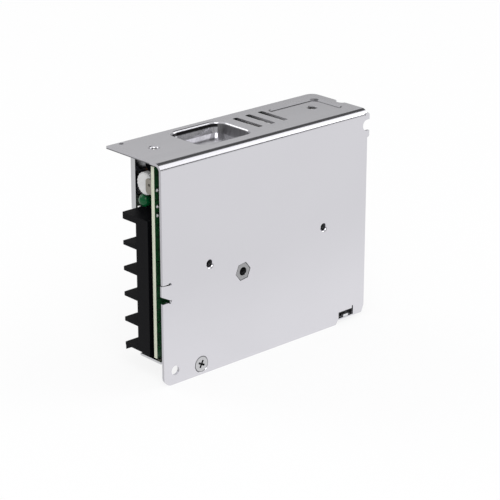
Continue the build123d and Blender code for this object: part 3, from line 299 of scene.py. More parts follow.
# Surfaces of a new piece, collected as sheets of points
class Shape:
    def __init__(self):
        self.points, self.faces, self.slots, self.spots, self.count = [], [], [], [], 0

    # A sheet of rows by columns, whose last column joins its first
    def grid(self, points, slot=0, spots=None):
        rows, columns = points.shape[:2]
        index = np.arange(rows * columns).reshape(rows, columns) + self.count
        index = np.hstack((index, index[:, :1]))
        quads = np.stack((index[:-1, :-1], index[1:, :-1], index[1:, 1:], index[:-1, 1:]), axis=-1)
        slots = np.broadcast_to(np.reshape(slot, (-1, 1)), quads.shape[:2])
        self.points.append(points.reshape(-1, 3))
        self.spots.append((np.zeros_like(points) if spots is None else spots).reshape(-1, 3))
        self.faces.append(quads.reshape(-1, 4))
        self.slots.append(slots.ravel())
        self.count += rows * columns

    # A profile of (radius, height) turned about an axis through a centre; one slot, or one for each segment
    def revolve(self, profile, centre, axis, slot, sides):
        profile = np.array(profile, float)
        turn = np.arange(sides) * 2 * math.pi / sides
        around = np.stack((np.cos(turn), np.sin(turn)), axis=-1)
        across = around[:, :1] * np.eye(3)[axis - 2] + around[:, 1:] * np.eye(3)[axis - 1]
        radius, height = profile[:, :1, None], profile[:, 1:, None]
        points = np.array(centre, float) + radius * across + height * np.eye(3)[axis]
        share = radius / profile[:, 0].max()
        run = (height - profile[:, 1].min()) / (np.ptp(profile[:, 1]) or 1.0)
        spots = np.concatenate((share * around, run * np.ones((1, sides, 1))), axis=-1)
        self.grid(points, slot, spots)

    # A round wire with flat ends along a path; the reference is a direction that the path never runs in
    def tube(self, path, radius, reference, slot=0, sides=8):
        along = np.gradient(path, axis=0)
        side = unit(np.cross(along, reference))
        up = unit(np.cross(side, along))
        turn = np.arange(sides) * 2 * math.pi / sides
        ring = np.cos(turn)[:, None] * side[:, None] + np.sin(turn)[:, None] * up[:, None]
        ends = [np.repeat(path[i:i + 1, None], sides, axis=1) for i in (0, len(path) - 1)]
        self.grid(np.concatenate((ends[0], path[:, None] + radius * ring, ends[1])), slot)


def addMesh(name, clean, materials, replaced, body, crease):
    bmesh.ops.recalc_face_normals(clean, faces=clean.faces)
    mesh = bpy.data.meshes.new(name)
    clean.to_mesh(mesh)
    clean.free()
    mesh.polygons.foreach_set("use_smooth", np.ones(len(mesh.polygons), bool))
    mesh.set_sharp_from_angle(angle=math.radians(crease))
    for material in materials:
        mesh.materials.append(material)
    piece = bpy.data.objects.new(name, mesh)
    scene.collection.objects.link(piece)
    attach(piece, body)
    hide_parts(*replaced)
    return piece


# A piece from collected surfaces: seams and poles closed, faces outwards
def addPiece(name, shape, materials, replaced=(), body="root", crease=38.0):
    mesh = bpy.data.meshes.new(name + "Draft")
    mesh.from_pydata(np.concatenate(shape.points) / 1000, [], np.concatenate(shape.faces))
    mesh.polygons.foreach_set("material_index", np.concatenate(shape.slots).astype(np.int32))
    spot = mesh.attributes.new("spot", "FLOAT_VECTOR", "POINT")
    spot.data.foreach_set("vector", np.concatenate(shape.spots).astype(np.float32).ravel())
    clean = bmesh.new()
    clean.from_mesh(mesh)
    bpy.data.meshes.remove(mesh)
    bmesh.ops.remove_doubles(clean, verts=clean.verts, dist=1e-7)
    return addMesh(name, clean, materials, replaced, body, crease)


rounding = {"flatAngle": 1.0, "edgeAngle": 35.0, "segments": 2}


# A node's own shape with its edges rounded as mould and wear leave them, turned by so many degrees about Y
def addSoftened(node, width, material, body="root", turn=0.0):
    clean = merged(node)
    bmesh.ops.dissolve_limit(clean, angle_limit=math.radians(rounding["flatAngle"]), verts=clean.verts,
                             edges=clean.edges)
    low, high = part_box(node)
    bmesh.ops.rotate(clean, verts=clean.verts, cent=(low + high) / 2,
                     matrix=Matrix.Rotation(math.radians(turn), 3, "Y"))
    piece = addMesh(node + "_soft", clean, [material], (node,), body, 180.0)
    # The node's own normals belong to its sharp edges, so they go
    normals = piece.data.attributes.get("custom_normal")
    if normals is not None:
        piece.data.attributes.remove(normals)
    edges = piece.modifiers.new("edges", "BEVEL")
    edges.width, edges.segments = width / 1000, rounding["segments"]
    edges.limit_method, edges.angle_limit = "ANGLE", math.radians(rounding["edgeAngle"])
    edges.harden_normals = True
    return piece


# Sheet metal: rolling grain along the length, faint clouds, duller where the sheet was cut, and painted light
# that makes it lighter towards the foot
sheetMetal = {
    "chassisTint": (0.66, 0.653, 0.688), "coverTint": (0.73, 0.735, 0.755), "sinkTint": (0.50, 0.51, 0.53),
    # Painted light: the tint is raised towards the foot, between these heights
    "paintedLightGain": 1.09, "paintedLightFrom": (5.0, -34.0),  # lighter towards the foot, between these heights
    "shine": 0.12, "coverShine": 0.20, "sinkShine": 0.30, "cloud": 0.035, "haze": 0.05,
    "cutShine": 0.38, "cutDark": 0.72, "cutTilt": (0.85, 0.97),
    "grain": (0.05, 9.0, 9.0), "grainDepth": 0.0025,
}
# Painted shade in the drawn pocket and recess of the flange: how much of the tint is left, by the depth in
# millimetres
pocketShade = {
    "from": (5.8, 6.0),          # from the plate's face to the pocket
    "wallTilt": (0.55, 0.85), "wallDepth": (0.75, 0.55), "sideTilt": (-0.15, 0.15),
    "floorDepth": (3.0, 2.6), "floorShare": 0.98,
    "farShare": (0.04, 0.95), "farDepth": (2.0, 1.5),  # the far wall, high and low
    "sideShare": 0.36, "streak": 0.25, "streakWaves": (0.9, 0.9, 0.12), "streakStep": (0.4, 0.75),
    "recessFrom": (19.0, 19.5), "recessTilt": (0.80, 0.92), "recessFlat": (0.3, 0.5),
    "recessShare": (0.42, 0.26),  # its long sides and its short ones
}
# Painted shade on the cover's flap, which lies in the dark behind the catch slot
catchShade = {"share": 0.06, "from": (33.0, 33.5), "behind": (1.1, 1.3), "under": (6.5, 7.0)}


# Share of the tint left by painted shade and painted reflection on the drawn forms: dark streaky walls, black
# high on the far one, and a duller floor
def pocketShadeShare(paint, sides, top):
    x, y, z = paint.parts(paint.place)

    def below(depths):
        return 1.0 - paint.step(z, top - depths[0], top - depths[1])

    inside = paint.step(y, *pocketShade["from"])
    wall = (1.0 - paint.step(sides[2], *pocketShade["wallTilt"])) * below(pocketShade["wallDepth"]) * inside
    base = below(pocketShade["floorDepth"]) * inside
    high, low = pocketShade["farShare"]
    far = below(pocketShade["farDepth"]) * (low - high) + high
    sideways = paint.step(sides[0] - sides[1], *pocketShade["sideTilt"])
    cloud = paint.noise(pocketShade["streakWaves"], 3.0, 0.7)
    streaks = 1.0 - pocketShade["streak"] * paint.step(cloud, *pocketShade["streakStep"])
    streaks = streaks * (far + sideways * (pocketShade["sideShare"] - far))
    slope = (1.0 - paint.step(sides[2], *pocketShade["recessTilt"])) * paint.step(sides[2], *pocketShade["recessFlat"])
    slope = slope * inside * paint.step(x, *pocketShade["recessFrom"])
    along, across = pocketShade["recessShare"]
    recess = 1.0 - slope * (1.0 - (along + sideways * (across - along)))
    return (1.0 - base * (1.0 - pocketShade["floorShare"])) * (1.0 - wall * (1.0 - streaks)) * recess


# Share of the cover's tint left by the painted shade behind the catch slot
def catchShadeShare(paint, low):
    x, y, z = paint.parts(paint.place)
    ends = [(low[1] + catchShade["behind"][i], low[2] + catchShade["under"][i]) for i in (0, 1)]
    behind = paint.step(y, ends[0][0], ends[1][0]) * (1.0 - paint.step(z, ends[0][1], ends[1][1]))
    return 1.0 - behind * paint.step(x, *catchShade["from"]) * (1.0 - catchShade["share"])


# The cut axes are those that a cut edge of the sheet faces; the pocket's top and the cover's low corner
# switch on painted shade
def metalSheet(name, tint, shine, cutAxes, pocketShadeTop=None, catchShadeLow=None):
    black = (0.0, 0.0, 0.0)
    paint = Surface(name)
    cloud = paint.noise(0.035, 2.0)
    smear = paint.noise((0.02, 0.3, 0.3), 4.0, 0.6)
    grain = paint.noise(sheetMetal["grain"], 3.0, 0.7)
    normal = paint.make("ShaderNodeNewGeometry", output="True Normal")
    sides = [part.maths("ABSOLUTE") for part in paint.parts(normal)]
    cut = paint.step(sum((sides[axis] for axis in cutAxes[1:]), sides[cutAxes[0]]), *sheetMetal["cutTilt"])
    above, foot = sheetMetal["paintedLightFrom"]
    # Painted light: the sheet lighter towards the foot
    paintedLight = 1.0 - paint.step(paint.parts(paint.place)[2], foot, above)
    sheet = paint.mix(paintedLight, tint, scaled(tint, sheetMetal["paintedLightGain"]))
    edge = paint.mix(1.0 - sheetMetal["cutDark"], sheet, black)
    colour = paint.mix(cut, paint.mix(cloud * sheetMetal["cloud"], sheet, black), edge)
    # Painted shade in the drawn pocket and its recess
    if pocketShadeTop is not None:
        colour = paint.mix(pocketShadeShare(paint, sides, pocketShadeTop), black, colour)
    # Painted shade on the cover's flap behind the catch slot
    if catchShadeLow is not None:
        colour = paint.mix(catchShadeShare(paint, catchShadeLow), black, colour)
    rough = shine + sheetMetal["haze"] * smear + (sheetMetal["cutShine"] - shine) * cut
    return paint.shade(baseColor=colour, metallic=1.0, roughness=rough,
                       normal=paint.bump(grain, sheetMetal["grainDepth"]))


# Plated screws and small steel parts: fine turned lines, slightly warm zinc
plating = {
    "tint": (0.62, 0.615, 0.60), "shine": 0.24, "tinTint": (0.72, 0.71, 0.69), "tinShine": 0.20,
    "solderTint": (0.50, 0.505, 0.51), "solderShine": 0.30,
    "standoffTint": (0.40, 0.40, 0.41), "standoffShine": 0.34,
    # Painted shade: the shaded thread tint stands in for the shade inside the panel's holes
    "canShadedTint": (0.42, 0.425, 0.43), "canShine": 0.26, "shadedThreadTint": (0.10, 0.10, 0.105),
    "worn": 0.86, "haze": 0.12, "lines": 9.0, "lineDepth": 0.006,
}


def plated(name, tint, shine):
    paint = Surface(name)
    spots = paint.noise(1.4, 4.0, 0.6)
    lines = paint.noise(plating["lines"], 2.0)
    return paint.shade(baseColor=paint.worn(spots, tint, plating["worn"]), metallic=1.0,
                       roughness=shine + plating["haze"] * spots,
                       normal=paint.bump(lines, plating["lineDepth"]))


# Moulded plastics: tint, roughness, waves of the spark-eroded grain in a millimetre, and its depth
plastics = {
    "terminal": ((0.0030, 0.0030, 0.0040), 0.40, 5.0, 0.012),
    "knob": ((0.60, 0.60, 0.60), 0.40, 4.0, 0.008),
    # Painted shade: the trimmer's tint is darkened for the shadow it sits in beside the board
    "trimmer": ((0.20, 0.185, 0.155), 0.45, 4.0, 0.008),
    "bobbin": ((0.022, 0.020, 0.018), 0.48, 5.0, 0.012),
    "boxYellow": ((0.62, 0.47, 0.05), 0.38, 4.0, 0.010),
    "discBlue": ((0.022, 0.085, 0.34), 0.30, 2.0, 0.020),
    "darkCoat": ((0.020, 0.030, 0.024), 0.50, 2.5, 0.030),
    "sleeve": ((0.004, 0.0045, 0.008), 0.30, 1.2, 0.006),
    "fuseClay": ((0.64, 0.60, 0.50), 0.60, 4.0, 0.012),
    "pad": ((0.36, 0.37, 0.39), 0.75, 5.0, 0.015),
    "resistorCoat": ((0.20, 0.30, 0.36), 0.35, 2.0, 0.012),
}
moulding = {"dark": 0.84, "light": 1.12, "less": 0.05, "haze": 0.12, "grainHaze": 0.05, "coatRough": 0.15}


def moulded(name, coat=0.0, index=1.5):
    tint, rough, waves, depth = plastics[name]
    paint = Surface(name + "Plastic")
    cloud = paint.noise(0.25, 3.0)
    grain = paint.noise(waves, 2.0, 0.6)
    colour = paint.mix(cloud, scaled(tint, moulding["dark"]), scaled(tint, moulding["light"]))
    rough = (rough - moulding["less"]) + moulding["haze"] * cloud + moulding["grainHaze"] * grain
    return paint.shade({"IOR": index}, baseColor=colour, roughness=rough, coatWeight=coat,
                       coatRoughness=moulding["coatRough"], normal=paint.bump(grain, depth))


# Countersunk head: painted shade as a dark ring where its rim meets the sheet, and painted shadow filling the
# cross recess
head = {
    "tint": (0.63, 0.63, 0.645), "worn": 0.88, "ring": (0.22, 0.22, 0.23), "recess": (0.035, 0.035, 0.04),
    "ringShadeFrom": (0.32, 0.192),   # millimetres inward from the rim
    "recessFrom": (0.12, 0.22),  # millimetres deep in the head
    "shine": 0.26, "haze": 0.1,
    "edge": 0.05, "turn": 28.0,  # its rounding, and the degrees that its cross is turned by
}


def coverScrewHead():
    paint = Surface("coverScrewHead")
    x, y, z = paint.parts(paint.place)
    low, high = box("cover_screw")
    middle, radius = (low + high) / 2, (high[0] - low[0]) / 2
    acrossX, acrossZ = x - middle[0], z - middle[2]
    away = (acrossX * acrossX + acrossZ * acrossZ).maths("SQRT")
    ring = paint.step(away, *(radius - inward for inward in head["ringShadeFrom"]))
    deep = paint.step(y, *(low[1] + depth for depth in head["recessFrom"]))
    cloud = paint.noise(1.2, 4.0)
    colour = paint.worn(cloud, head["tint"], head["worn"])
    # Painted shade on the ring at the rim, and painted shadow in the cross recess
    colour = paint.mix(deep, paint.mix(ring, colour, head["ring"]), head["recess"])
    return paint.shade(baseColor=colour, metallic=1.0, roughness=head["shine"] + head["haze"] * cloud,
                       normal=paint.bump(paint.noise(plating["lines"], 2.0), plating["lineDepth"]))


# A black moulded package with bare tinned metal: its legs, a tab on one side or pins on both
packages = {
    "tint": (0.016, 0.016, 0.018), "worn": 0.8, "rough": 0.5, "haze": 0.08, "grain": 0.012,
    "metal": (0.62, 0.61, 0.59), "metalWorn": 0.85, "metalRough": 0.26, "blend": 0.04,
}


def mouldedPackage(node, legs=0.0, tab=None, pins=None):
    paint = Surface(node + "Package")
    place = paint.parts(paint.place)
    low, high = box(node)
    blend = packages["blend"]
    metal = 1.0 - paint.step(place[1], low[1] + legs - blend, low[1] + legs)
    if tab is not None:
        axis, depth = tab
        start = high[axis] - depth
        metal = metal.maths("MAXIMUM", paint.step(place[axis], start - blend, start))
    if pins is not None:
        aside = (place[2] - (low[2] + high[2]) / 2).maths("ABSOLUTE")
        metal = metal.maths("MAXIMUM", paint.step(aside, pins, pins + blend))
    cloud, fine = paint.noise(0.6), paint.noise(7.0, 2.0, 0.6)
    plastic = paint.worn(cloud, packages["tint"], packages["worn"])
    bare = paint.worn(cloud, packages["metal"], packages["metalWorn"])
    rough = packages["rough"] + packages["haze"] * cloud
    return paint.shade(baseColor=paint.mix(metal, plastic, bare), metallic=metal,
                       roughness=rough + metal * (packages["metalRough"] - packages["rough"]),
                       normal=paint.bump(fine, packages["grain"]))


# Pressed ferrite: dark, matt, slightly speckled
ferrite = {
    "tint": (0.020, 0.020, 0.022), "fleck": (0.055, 0.053, 0.052), "fleckFrom": (0.52, 0.68),
    "rough": 0.62, "fleckShine": 0.12, "grain": 0.02,
}


def pressedFerrite():
    paint = Surface("pressedFerrite")
    flecks = paint.step(paint.noise(5.0, 4.0, 0.7), *ferrite["fleckFrom"])
    grain = paint.noise(8.0, 3.0, 0.7)
    return paint.shade(baseColor=paint.mix(flecks, ferrite["tint"], ferrite["fleck"]),
                       roughness=ferrite["rough"] - ferrite["fleckShine"] * flecks,
                       normal=paint.bump(grain, ferrite["grain"]))


# Enamelled copper wire
enamel = {
    "tint": (0.50, 0.17, 0.055), "dark": (0.30, 0.085, 0.025), "shine": 0.22, "haze": 0.10, "grain": 0.004,
}


def copperWire():
    paint = Surface("copperWire")
    cloud = paint.noise(0.8, 3.0)
    return paint.shade(baseColor=paint.mix(cloud, enamel["dark"], enamel["tint"]), metallic=0.85,
                       roughness=enamel["shine"] + enamel["haze"] * cloud, coatWeight=0.5, coatRoughness=0.10,
                       normal=paint.bump(paint.noise(6.0, 2.0), enamel["grain"]))


# Yellow polyester tape wound in layers, its edges showing as thin lines
tapeFilm = {
    "tint": (0.72, 0.52, 0.06), "under": (0.50, 0.30, 0.05), "underShare": 0.6, "shine": 0.20, "haze": 0.12,
    "layer": 2.6,          # layers in a millimetre
    "edge": (0.86, 0.98),  # share of a layer from which its edge shows
    "wrinkle": 0.5, "relief": 0.05,
}


def woundTape():
    paint = Surface("woundTape")
    wrinkle = paint.noise((0.25, 0.25, 1.6), 3.0, 0.6)
    layers = (paint.parts(paint.place)[2] * tapeFilm["layer"] + wrinkle).maths("FRACT")
    edge = paint.step(layers, *tapeFilm["edge"])
    colour = paint.mix(edge * tapeFilm["underShare"], tapeFilm["tint"], tapeFilm["under"])
    return paint.shade(baseColor=colour, roughness=tapeFilm["shine"] + tapeFilm["haze"] * wrinkle,
                       coatWeight=0.3, coatRoughness=0.12,
                       normal=paint.bump(edge + wrinkle * tapeFilm["wrinkle"], tapeFilm["relief"]))


# Circuit board: solder mask over copper on its faces, cream glass laminate on its cut edges
board = {
    "mask": (0.0035, 0.030, 0.009), "copper": (0.006, 0.060, 0.016), "gap": (0.002, 0.016, 0.006),
    "laminate": (0.66, 0.68, 0.56), "laminateDark": (0.53, 0.56, 0.43), "faceTilt": (0.5, 0.7),
    "maskShare": 0.5, "shine": 0.24, "edgeDull": 0.3, "haze": 0.08, "relief": 0.035, "drift": 5.0,
    "pours": {"Scale": 0.14, "Mortar Size": 0.035, "Brick Width": 1.1, "Row Height": 0.62},
}


def circuitBoard():
    paint = Surface("circuitBoard")
    x, z = paint.parts(paint.place)[::2]
    normal = paint.make("ShaderNodeNewGeometry", output="True Normal")
    face = paint.step(paint.parts(normal)[1].maths("ABSOLUTE"), *board["faceTilt"])
    drift = paint.noise(0.06, 1.0) * board["drift"]
    flat = paint.make("ShaderNodeCombineXYZ", None, {0: x + drift, 1: z})
    pours = paint.make("ShaderNodeTexBrick", {"offset": 0.37, "squash": 0.6, "squash_frequency": 3},
                       {"Vector": flat, **board["pours"]}, output="Fac")
    copper = paint.mix(pours, board["copper"], board["gap"])
    cloud = paint.noise(0.3, 2.0)
    weave = paint.noise((0.4, 4.0, 0.4), 2.0)
    laminate = paint.mix(weave, board["laminateDark"], board["laminate"])
    masked = paint.mix(cloud * board["maskShare"], copper, board["mask"])
    rough = board["shine"] + board["edgeDull"] * (1.0 - face) + board["haze"] * cloud
    return paint.shade(baseColor=paint.mix(face, laminate, masked), roughness=rough,
                       normal=paint.bump(face * (1.0 - pours), board["relief"]))


# Insulating film: a pale translucent sheet
film = {"tint": (0.60, 0.70, 0.58), "dark": (0.46, 0.56, 0.45), "shine": 0.32, "haze": 0.1, "waviness": 0.02}


def insulatingFilm():
    paint = Surface("insulatingFilm")
    cloud = paint.noise(0.2, 3.0)
    return paint.shade(baseColor=paint.mix(cloud, film["dark"], film["tint"]), transmissionWeight=0.15,
                       roughness=film["shine"] + film["haze"] * cloud,
                       normal=paint.bump(paint.noise(0.8, 2.0), film["waviness"]))


# Green lens of the lamp, tinted through, with painted light that makes it brighter near its front, and bare
# wires behind it
lamp = {
    "tint": (0.0015, 0.075, 0.022), "deep": (0.001, 0.030, 0.010), "front": (0.3, 5.6), "index": 1.3,
    "lead": (0.62, 0.61, 0.59), "leadFrom": (1.62, 1.58), "shine": 0.10, "haze": 0.06, "waviness": 0.006,
}


def lampLens():
    paint = Surface("lampLens")
    x = paint.parts(paint.place)[0]
    low, high = box("indicator_lamp")
    front = 1.0 - paint.step(x, *(low[0] + depth for depth in lamp["front"]))
    lead = paint.step(x, *(high[0] - depth for depth in lamp["leadFrom"]))
    colour = paint.mix(lead, paint.mix(front, lamp["deep"], lamp["tint"]), lamp["lead"])
    return paint.shade({"IOR": lamp["index"]}, baseColor=colour, metallic=lead,
                       roughness=lamp["shine"] + lamp["haze"] * paint.noise(0.9),
                       normal=paint.bump(paint.noise(2.0), lamp["waviness"]))


screwFinish = plated("platedSteel", plating["tint"], plating["shine"])
tinFinish = plated("tinnedMetal", plating["tinTint"], plating["tinShine"])
solderFinish = plated("brightSolder", plating["solderTint"], plating["solderShine"])
shadedThreadFinish = plated("shadedThread", plating["shadedThreadTint"], plating["standoffShine"])
brightThread = plated("brightThread", plating["tinTint"], plating["tinShine"])
sleeveFinish = moulded("sleeve", coat=0.4)
ferriteFinish, copperFinish, tapeFinish = pressedFerrite(), copperWire(), woundTape()
finishes = {
    "chassis": metalSheet("chassisMetal", sheetMetal["chassisTint"], sheetMetal["shine"], (0,),
                          pocketShadeTop=box("chassis")[1][2]),
    "mesh_cover": metalSheet("coverMetal", sheetMetal["coverTint"], sheetMetal["coverShine"], (0,),
                             catchShadeLow=box("mesh_cover")[0]),
    "transistor_heatsink": metalSheet("sinkMetal", sheetMetal["sinkTint"], sheetMetal["sinkShine"], (2,)),
    "board_standoff": plated("standoffSteel", plating["standoffTint"], plating["standoffShine"]),
    # The board screw sits behind the plate and takes the same painted shade
    "board_screw": shadedThreadFinish, "cover_screw": coverScrewHead(),
    "transistor_screw": screwFinish, "rectifier_clip": screwFinish, "terminal_contacts": tinFinish,
    "terminal_housing": moulded("terminal", index=1.13), "solder_joints": solderFinish,
    "insulator_sheet": insulatingFilm(), "circuit_board": circuitBoard(),
    "trimmer_knob": moulded("knob", coat=0.1), "trimmer_body": moulded("trimmer"),
    "indicator_lamp": lampLens(), "fuse": moulded("fuseClay"), "inrush_thermistor": moulded("darkCoat"),
    "x_capacitor": moulded("boxYellow"), "y_capacitors": moulded("discBlue", coat=0.5),
    "line_choke_core": ferriteFinish, "output_choke_core": ferriteFinish, "transformer_core": ferriteFinish,
    "line_choke_windings": copperFinish, "output_choke_winding": copperFinish,
    "transformer_winding": tapeFinish, "transformer_bobbin": moulded("bobbin"),
    "bridge_rectifier": mouldedPackage("bridge_rectifier", legs=1.6),
    "output_rectifier": mouldedPackage("output_rectifier", legs=3.2, tab=(2, 1.3)),
    "switching_transistor": mouldedPackage("switching_transistor", legs=3.2, tab=(0, 1.3)),
    "control_circuit": mouldedPackage("control_circuit", pins=3.15),
    "optocoupler": mouldedPackage("optocoupler", pins=3.15),
    "bulk_capacitor": sleeveFinish, "output_capacitors": sleeveFinish, "small_capacitors": sleeveFinish,
    "thermal_pad": moulded("pad"), "resistors": moulded("resistorCoat", coat=0.3),
    **{f"{name}_{way}": screwFinish for name in ("clamp_washer", "terminal_screw") for way in range(1, 6)},
}
for nodeName, piece in nodes.items():
    piece.data.materials.clear()
    piece.data.materials.append(finishes[nodeName])
print("finishes made for", len(finishes), "nodes")


# Capacitor cans: a shrunk sleeve with a plain stripe, rolled over the rim of a lid with a vent cross
cans = {
    "stripe": (0.20, 0.21, 0.25), "stripeFrom": (0.90, 0.91), "stripeTo": (0.93, 0.95), "index": 1.25,
    "worn": 0.8, "haze": 0.10, "lidWorn": 0.88, "ventDepth": 0.12,
    # Shares of the radius
    "ventWide": (0.0225, 0.045), "ventLong": (0.55, 0.58), "lid": 0.80, "lidFlat": 0.5,
    "dish": 0.86, "rim": 0.9,
    # Millimetres; the roll is how far inward and down the sleeve's edge and the lid within it lie
    "shoulder": 0.55, "roll": ((0.0, 0.0), (0.1, 0.08), (0.3, 0.25)), "foot": 0.35, "dishDeep": 0.14,
    "rimRound": 0.12, "grooveFrom": 1.6, "grooveTo": 2.8, "grooveDeep": 0.45, "grooveTaper": 1.5,
    "sides": 48, "bendSteps": 7, "grooveSteps": 9,
}


def sleeveFilm():
    tint, rough, waves, depth = plastics["sleeve"]
    paint = Surface("canSleeve")
    across, run = paint.spot()[::2]
    cloud = paint.noise(0.25)
    stripe = paint.step(across, *cans["stripeFrom"]) * (1.0 - paint.step(run, *cans["stripeTo"]))
    dark = paint.worn(cloud, tint, cans["worn"])
    return paint.shade({"IOR": cans["index"]}, baseColor=paint.mix(stripe, dark, cans["stripe"]),
                       roughness=rough + cans["haze"] * cloud,
                       normal=paint.bump(paint.noise(waves, 3.0), depth))


def canLid():
    paint = Surface("canLid")
    spot = [part.maths("ABSOLUTE") for part in paint.spot()[:2]]
    bars = [(1.0 - paint.step(wide, *cans["ventWide"])) * (1.0 - paint.step(long, *cans["ventLong"]))
            for wide, long in (spot, spot[::-1])]
    cross = bars[0].maths("MAXIMUM", bars[1])
    cloud = paint.noise(1.1, 4.0, 0.6)
    # Painted shade: the lids' aluminium takes a darkened tint for the shade inside the case
    tint = plating["canShadedTint"]
    return paint.shade(baseColor=paint.worn(cloud, tint, cans["lidWorn"]), metallic=1.0,
                       roughness=plating["canShine"] + cans["haze"] * cloud,
                       normal=paint.bump(1.0 - cross, cans["ventDepth"]))


# Outline of a can from its foot to the middle of its lid, as (radius, height), and the slot of each stretch
def canOutline(radius, height):
    shoulder, dish, lid = cans["shoulder"], cans["dishDeep"], radius * cans["lid"]
    grooveHigh = cans["grooveTo"] - cans["grooveFrom"]
    rows = [(0.0, dish), (radius * cans["dish"], dish), (radius * cans["rim"], 0.0),
            (radius - cans["rimRound"], 0.0), (radius, cans["foot"])]
    for a in np.linspace(0, math.pi, cans["grooveSteps"]):
        deep = cans["grooveDeep"] * math.sin(a) ** cans["grooveTaper"]
        rows.append((radius - deep, cans["grooveFrom"] + grooveHigh * a / math.pi))
    for a in np.linspace(0, math.pi / 2, cans["bendSteps"]):
        rows.append((radius - shoulder + shoulder * math.cos(a), height - shoulder + shoulder * math.sin(a)))
    lidRow = len(rows)
    rows += [(lid - inward, height - down) for inward, down in cans["roll"]]
    lidHeight = rows[-1][1]
    rows += [(radius * cans["lidFlat"], lidHeight), (0.0, lidHeight)]
    slots = [1] * 3 + [0] * (lidRow - 2) + [1] * (len(rows) - 2 - lidRow)
    return rows, slots[:len(rows) - 1]


def addCans(node):
    shape = Shape()
    for low, high in solids(node):
        middle = (low + high) / 2
        radius, height = (high[0] - low[0]) / 2, high[1] - low[1]
        rows, slots = canOutline(radius, height)
        shape.revolve(rows, (middle[0], low[1], middle[2]), 1, slots, cans["sides"])
    addPiece(node + "_cans", shape, [canSleeve, canTop], (node,))


canSleeve, canTop = sleeveFilm(), canLid()
for nodeName in ("bulk_capacitor", "output_capacitors", "small_capacitors"):
    addCans(nodeName)
print("capacitor cans added")


# Line choke: on each leg a plain coil and turns of wire round it, rounded rectangles that climb all the way
chokeCoils = {"wire": 0.80, "inner": 0.55, "sunk": 0.05, "pole": 0.01, "power": 5.0, "steps": 40}


# A point of a rounded rectangle: a circle's direction, as far out as a superellipse of that power reaches
def roundedRing(turn, halfX, halfZ, power):
    c, s = np.cos(turn), np.sin(turn)
    reach = (np.abs(c / halfX) ** power + np.abs(s / halfZ) ** power) ** (-1 / power)
    return reach * c, reach * s


def addChokeCoils():
    shape = Shape()
    wire, steps, power = (chokeCoils[key] for key in ("wire", "steps", "power"))
    sunk, pole = chokeCoils["sunk"], chokeCoils["pole"]
    for low, high in solids("line_choke_windings"):
        middle, half = (low + high) / 2, (high - low) / 2
        turns = int((high[1] - low[1]) / wire)
        share = np.linspace(0, 1, turns * steps)
        x, z = roundedRing(share * turns * 2 * math.pi, half[0] - wire / 2, half[2] - wire / 2, power)
        climb = low[1] + wire / 2 + share * (high[1] - low[1] - wire)
        path = np.stack((middle[0] + x, climb, middle[2] + z), axis=-1)
        shape.tube(path, wire / 2, (0, 1, 0))
        turn = np.linspace(0, 2 * math.pi, steps, endpoint=False)
        x, z = roundedRing(turn, half[0] - chokeCoils["inner"], half[2] - chokeCoils["inner"], power)
        rows = []
        for size, y in zip((pole, 1.0, 1.0, pole), np.repeat((low[1] + sunk, high[1] - sunk), 2)):
            rows.append(np.stack((middle[0] + x * size, np.full(steps, y), middle[2] + z * size), axis=-1))
        shape.grid(np.stack(rows))
    addPiece("choke_coils", shape, [copperFinish], ("line_choke_windings",))


# Output choke: turns of thick wire laid round the ring's section, each a little further round the ring
ringCoil = {
    "wire": 0.95, "turns": 20, "steps": 28, "power": 6.0, "leadSteps": 8,
    "start": 2.0, "span": 296.0,  # degrees round the ring
    "core": (4.2, 7.2),           # radii of its bore and its outside
}


def addRingCoil():
    low, high = box("output_choke_core")
    middle, outer = (low + high) / 2, (high[0] - low[0]) / 2
    wire, (coreBore, coreOuter) = ringCoil["wire"], ringCoil["core"]
    bore = outer * coreBore / coreOuter
    share = np.linspace(0, 1, ringCoil["turns"] * ringCoil["steps"])
    along = np.radians(ringCoil["start"] + ringCoil["span"] * share)
    out, y = roundedRing(share * ringCoil["turns"] * 2 * math.pi, (outer - bore + wire) / 2,
                         (high[1] - low[1] + wire) / 2, ringCoil["power"])
    radius = (outer + bore) / 2 + out
    path = np.stack((radius * np.cos(along), y, -radius * np.sin(along)), axis=-1) + middle
    around = np.stack((-np.sin(along), np.zeros_like(along), -np.cos(along)), axis=-1)
    shape = Shape()
    shape.tube(path, wire / 2, around)
    boardY = box("circuit_board")[1][1]
    for end in (path[0], path[-1]):
        lead = np.repeat(end[None], ringCoil["leadSteps"], axis=0)
        lead[:, 1] = np.linspace(end[1], boardY, ringCoil["leadSteps"])
        shape.tube(lead, wire / 2, (1, 0, 0))
    addPiece("ring_coil", shape, [copperFinish], ("output_choke_winding",))


addChokeCoils()
addRingCoil()
print("windings added")


# Discs on wire legs: the dipped coat bulges in the middle and runs round the rim
discs = {
    "bulge": ((0.0, 1.0), (0.45, 0.96), (0.72, 0.82)),  # shares of the radius and of the half thickness
    "rim": 0.42, "rimHigh": 1.6, "rimSteps": 18, "sides": 40,
    "wire": 0.3, "wireSteps": 6, "pitch": 0.55, "rise": 0.48,
}


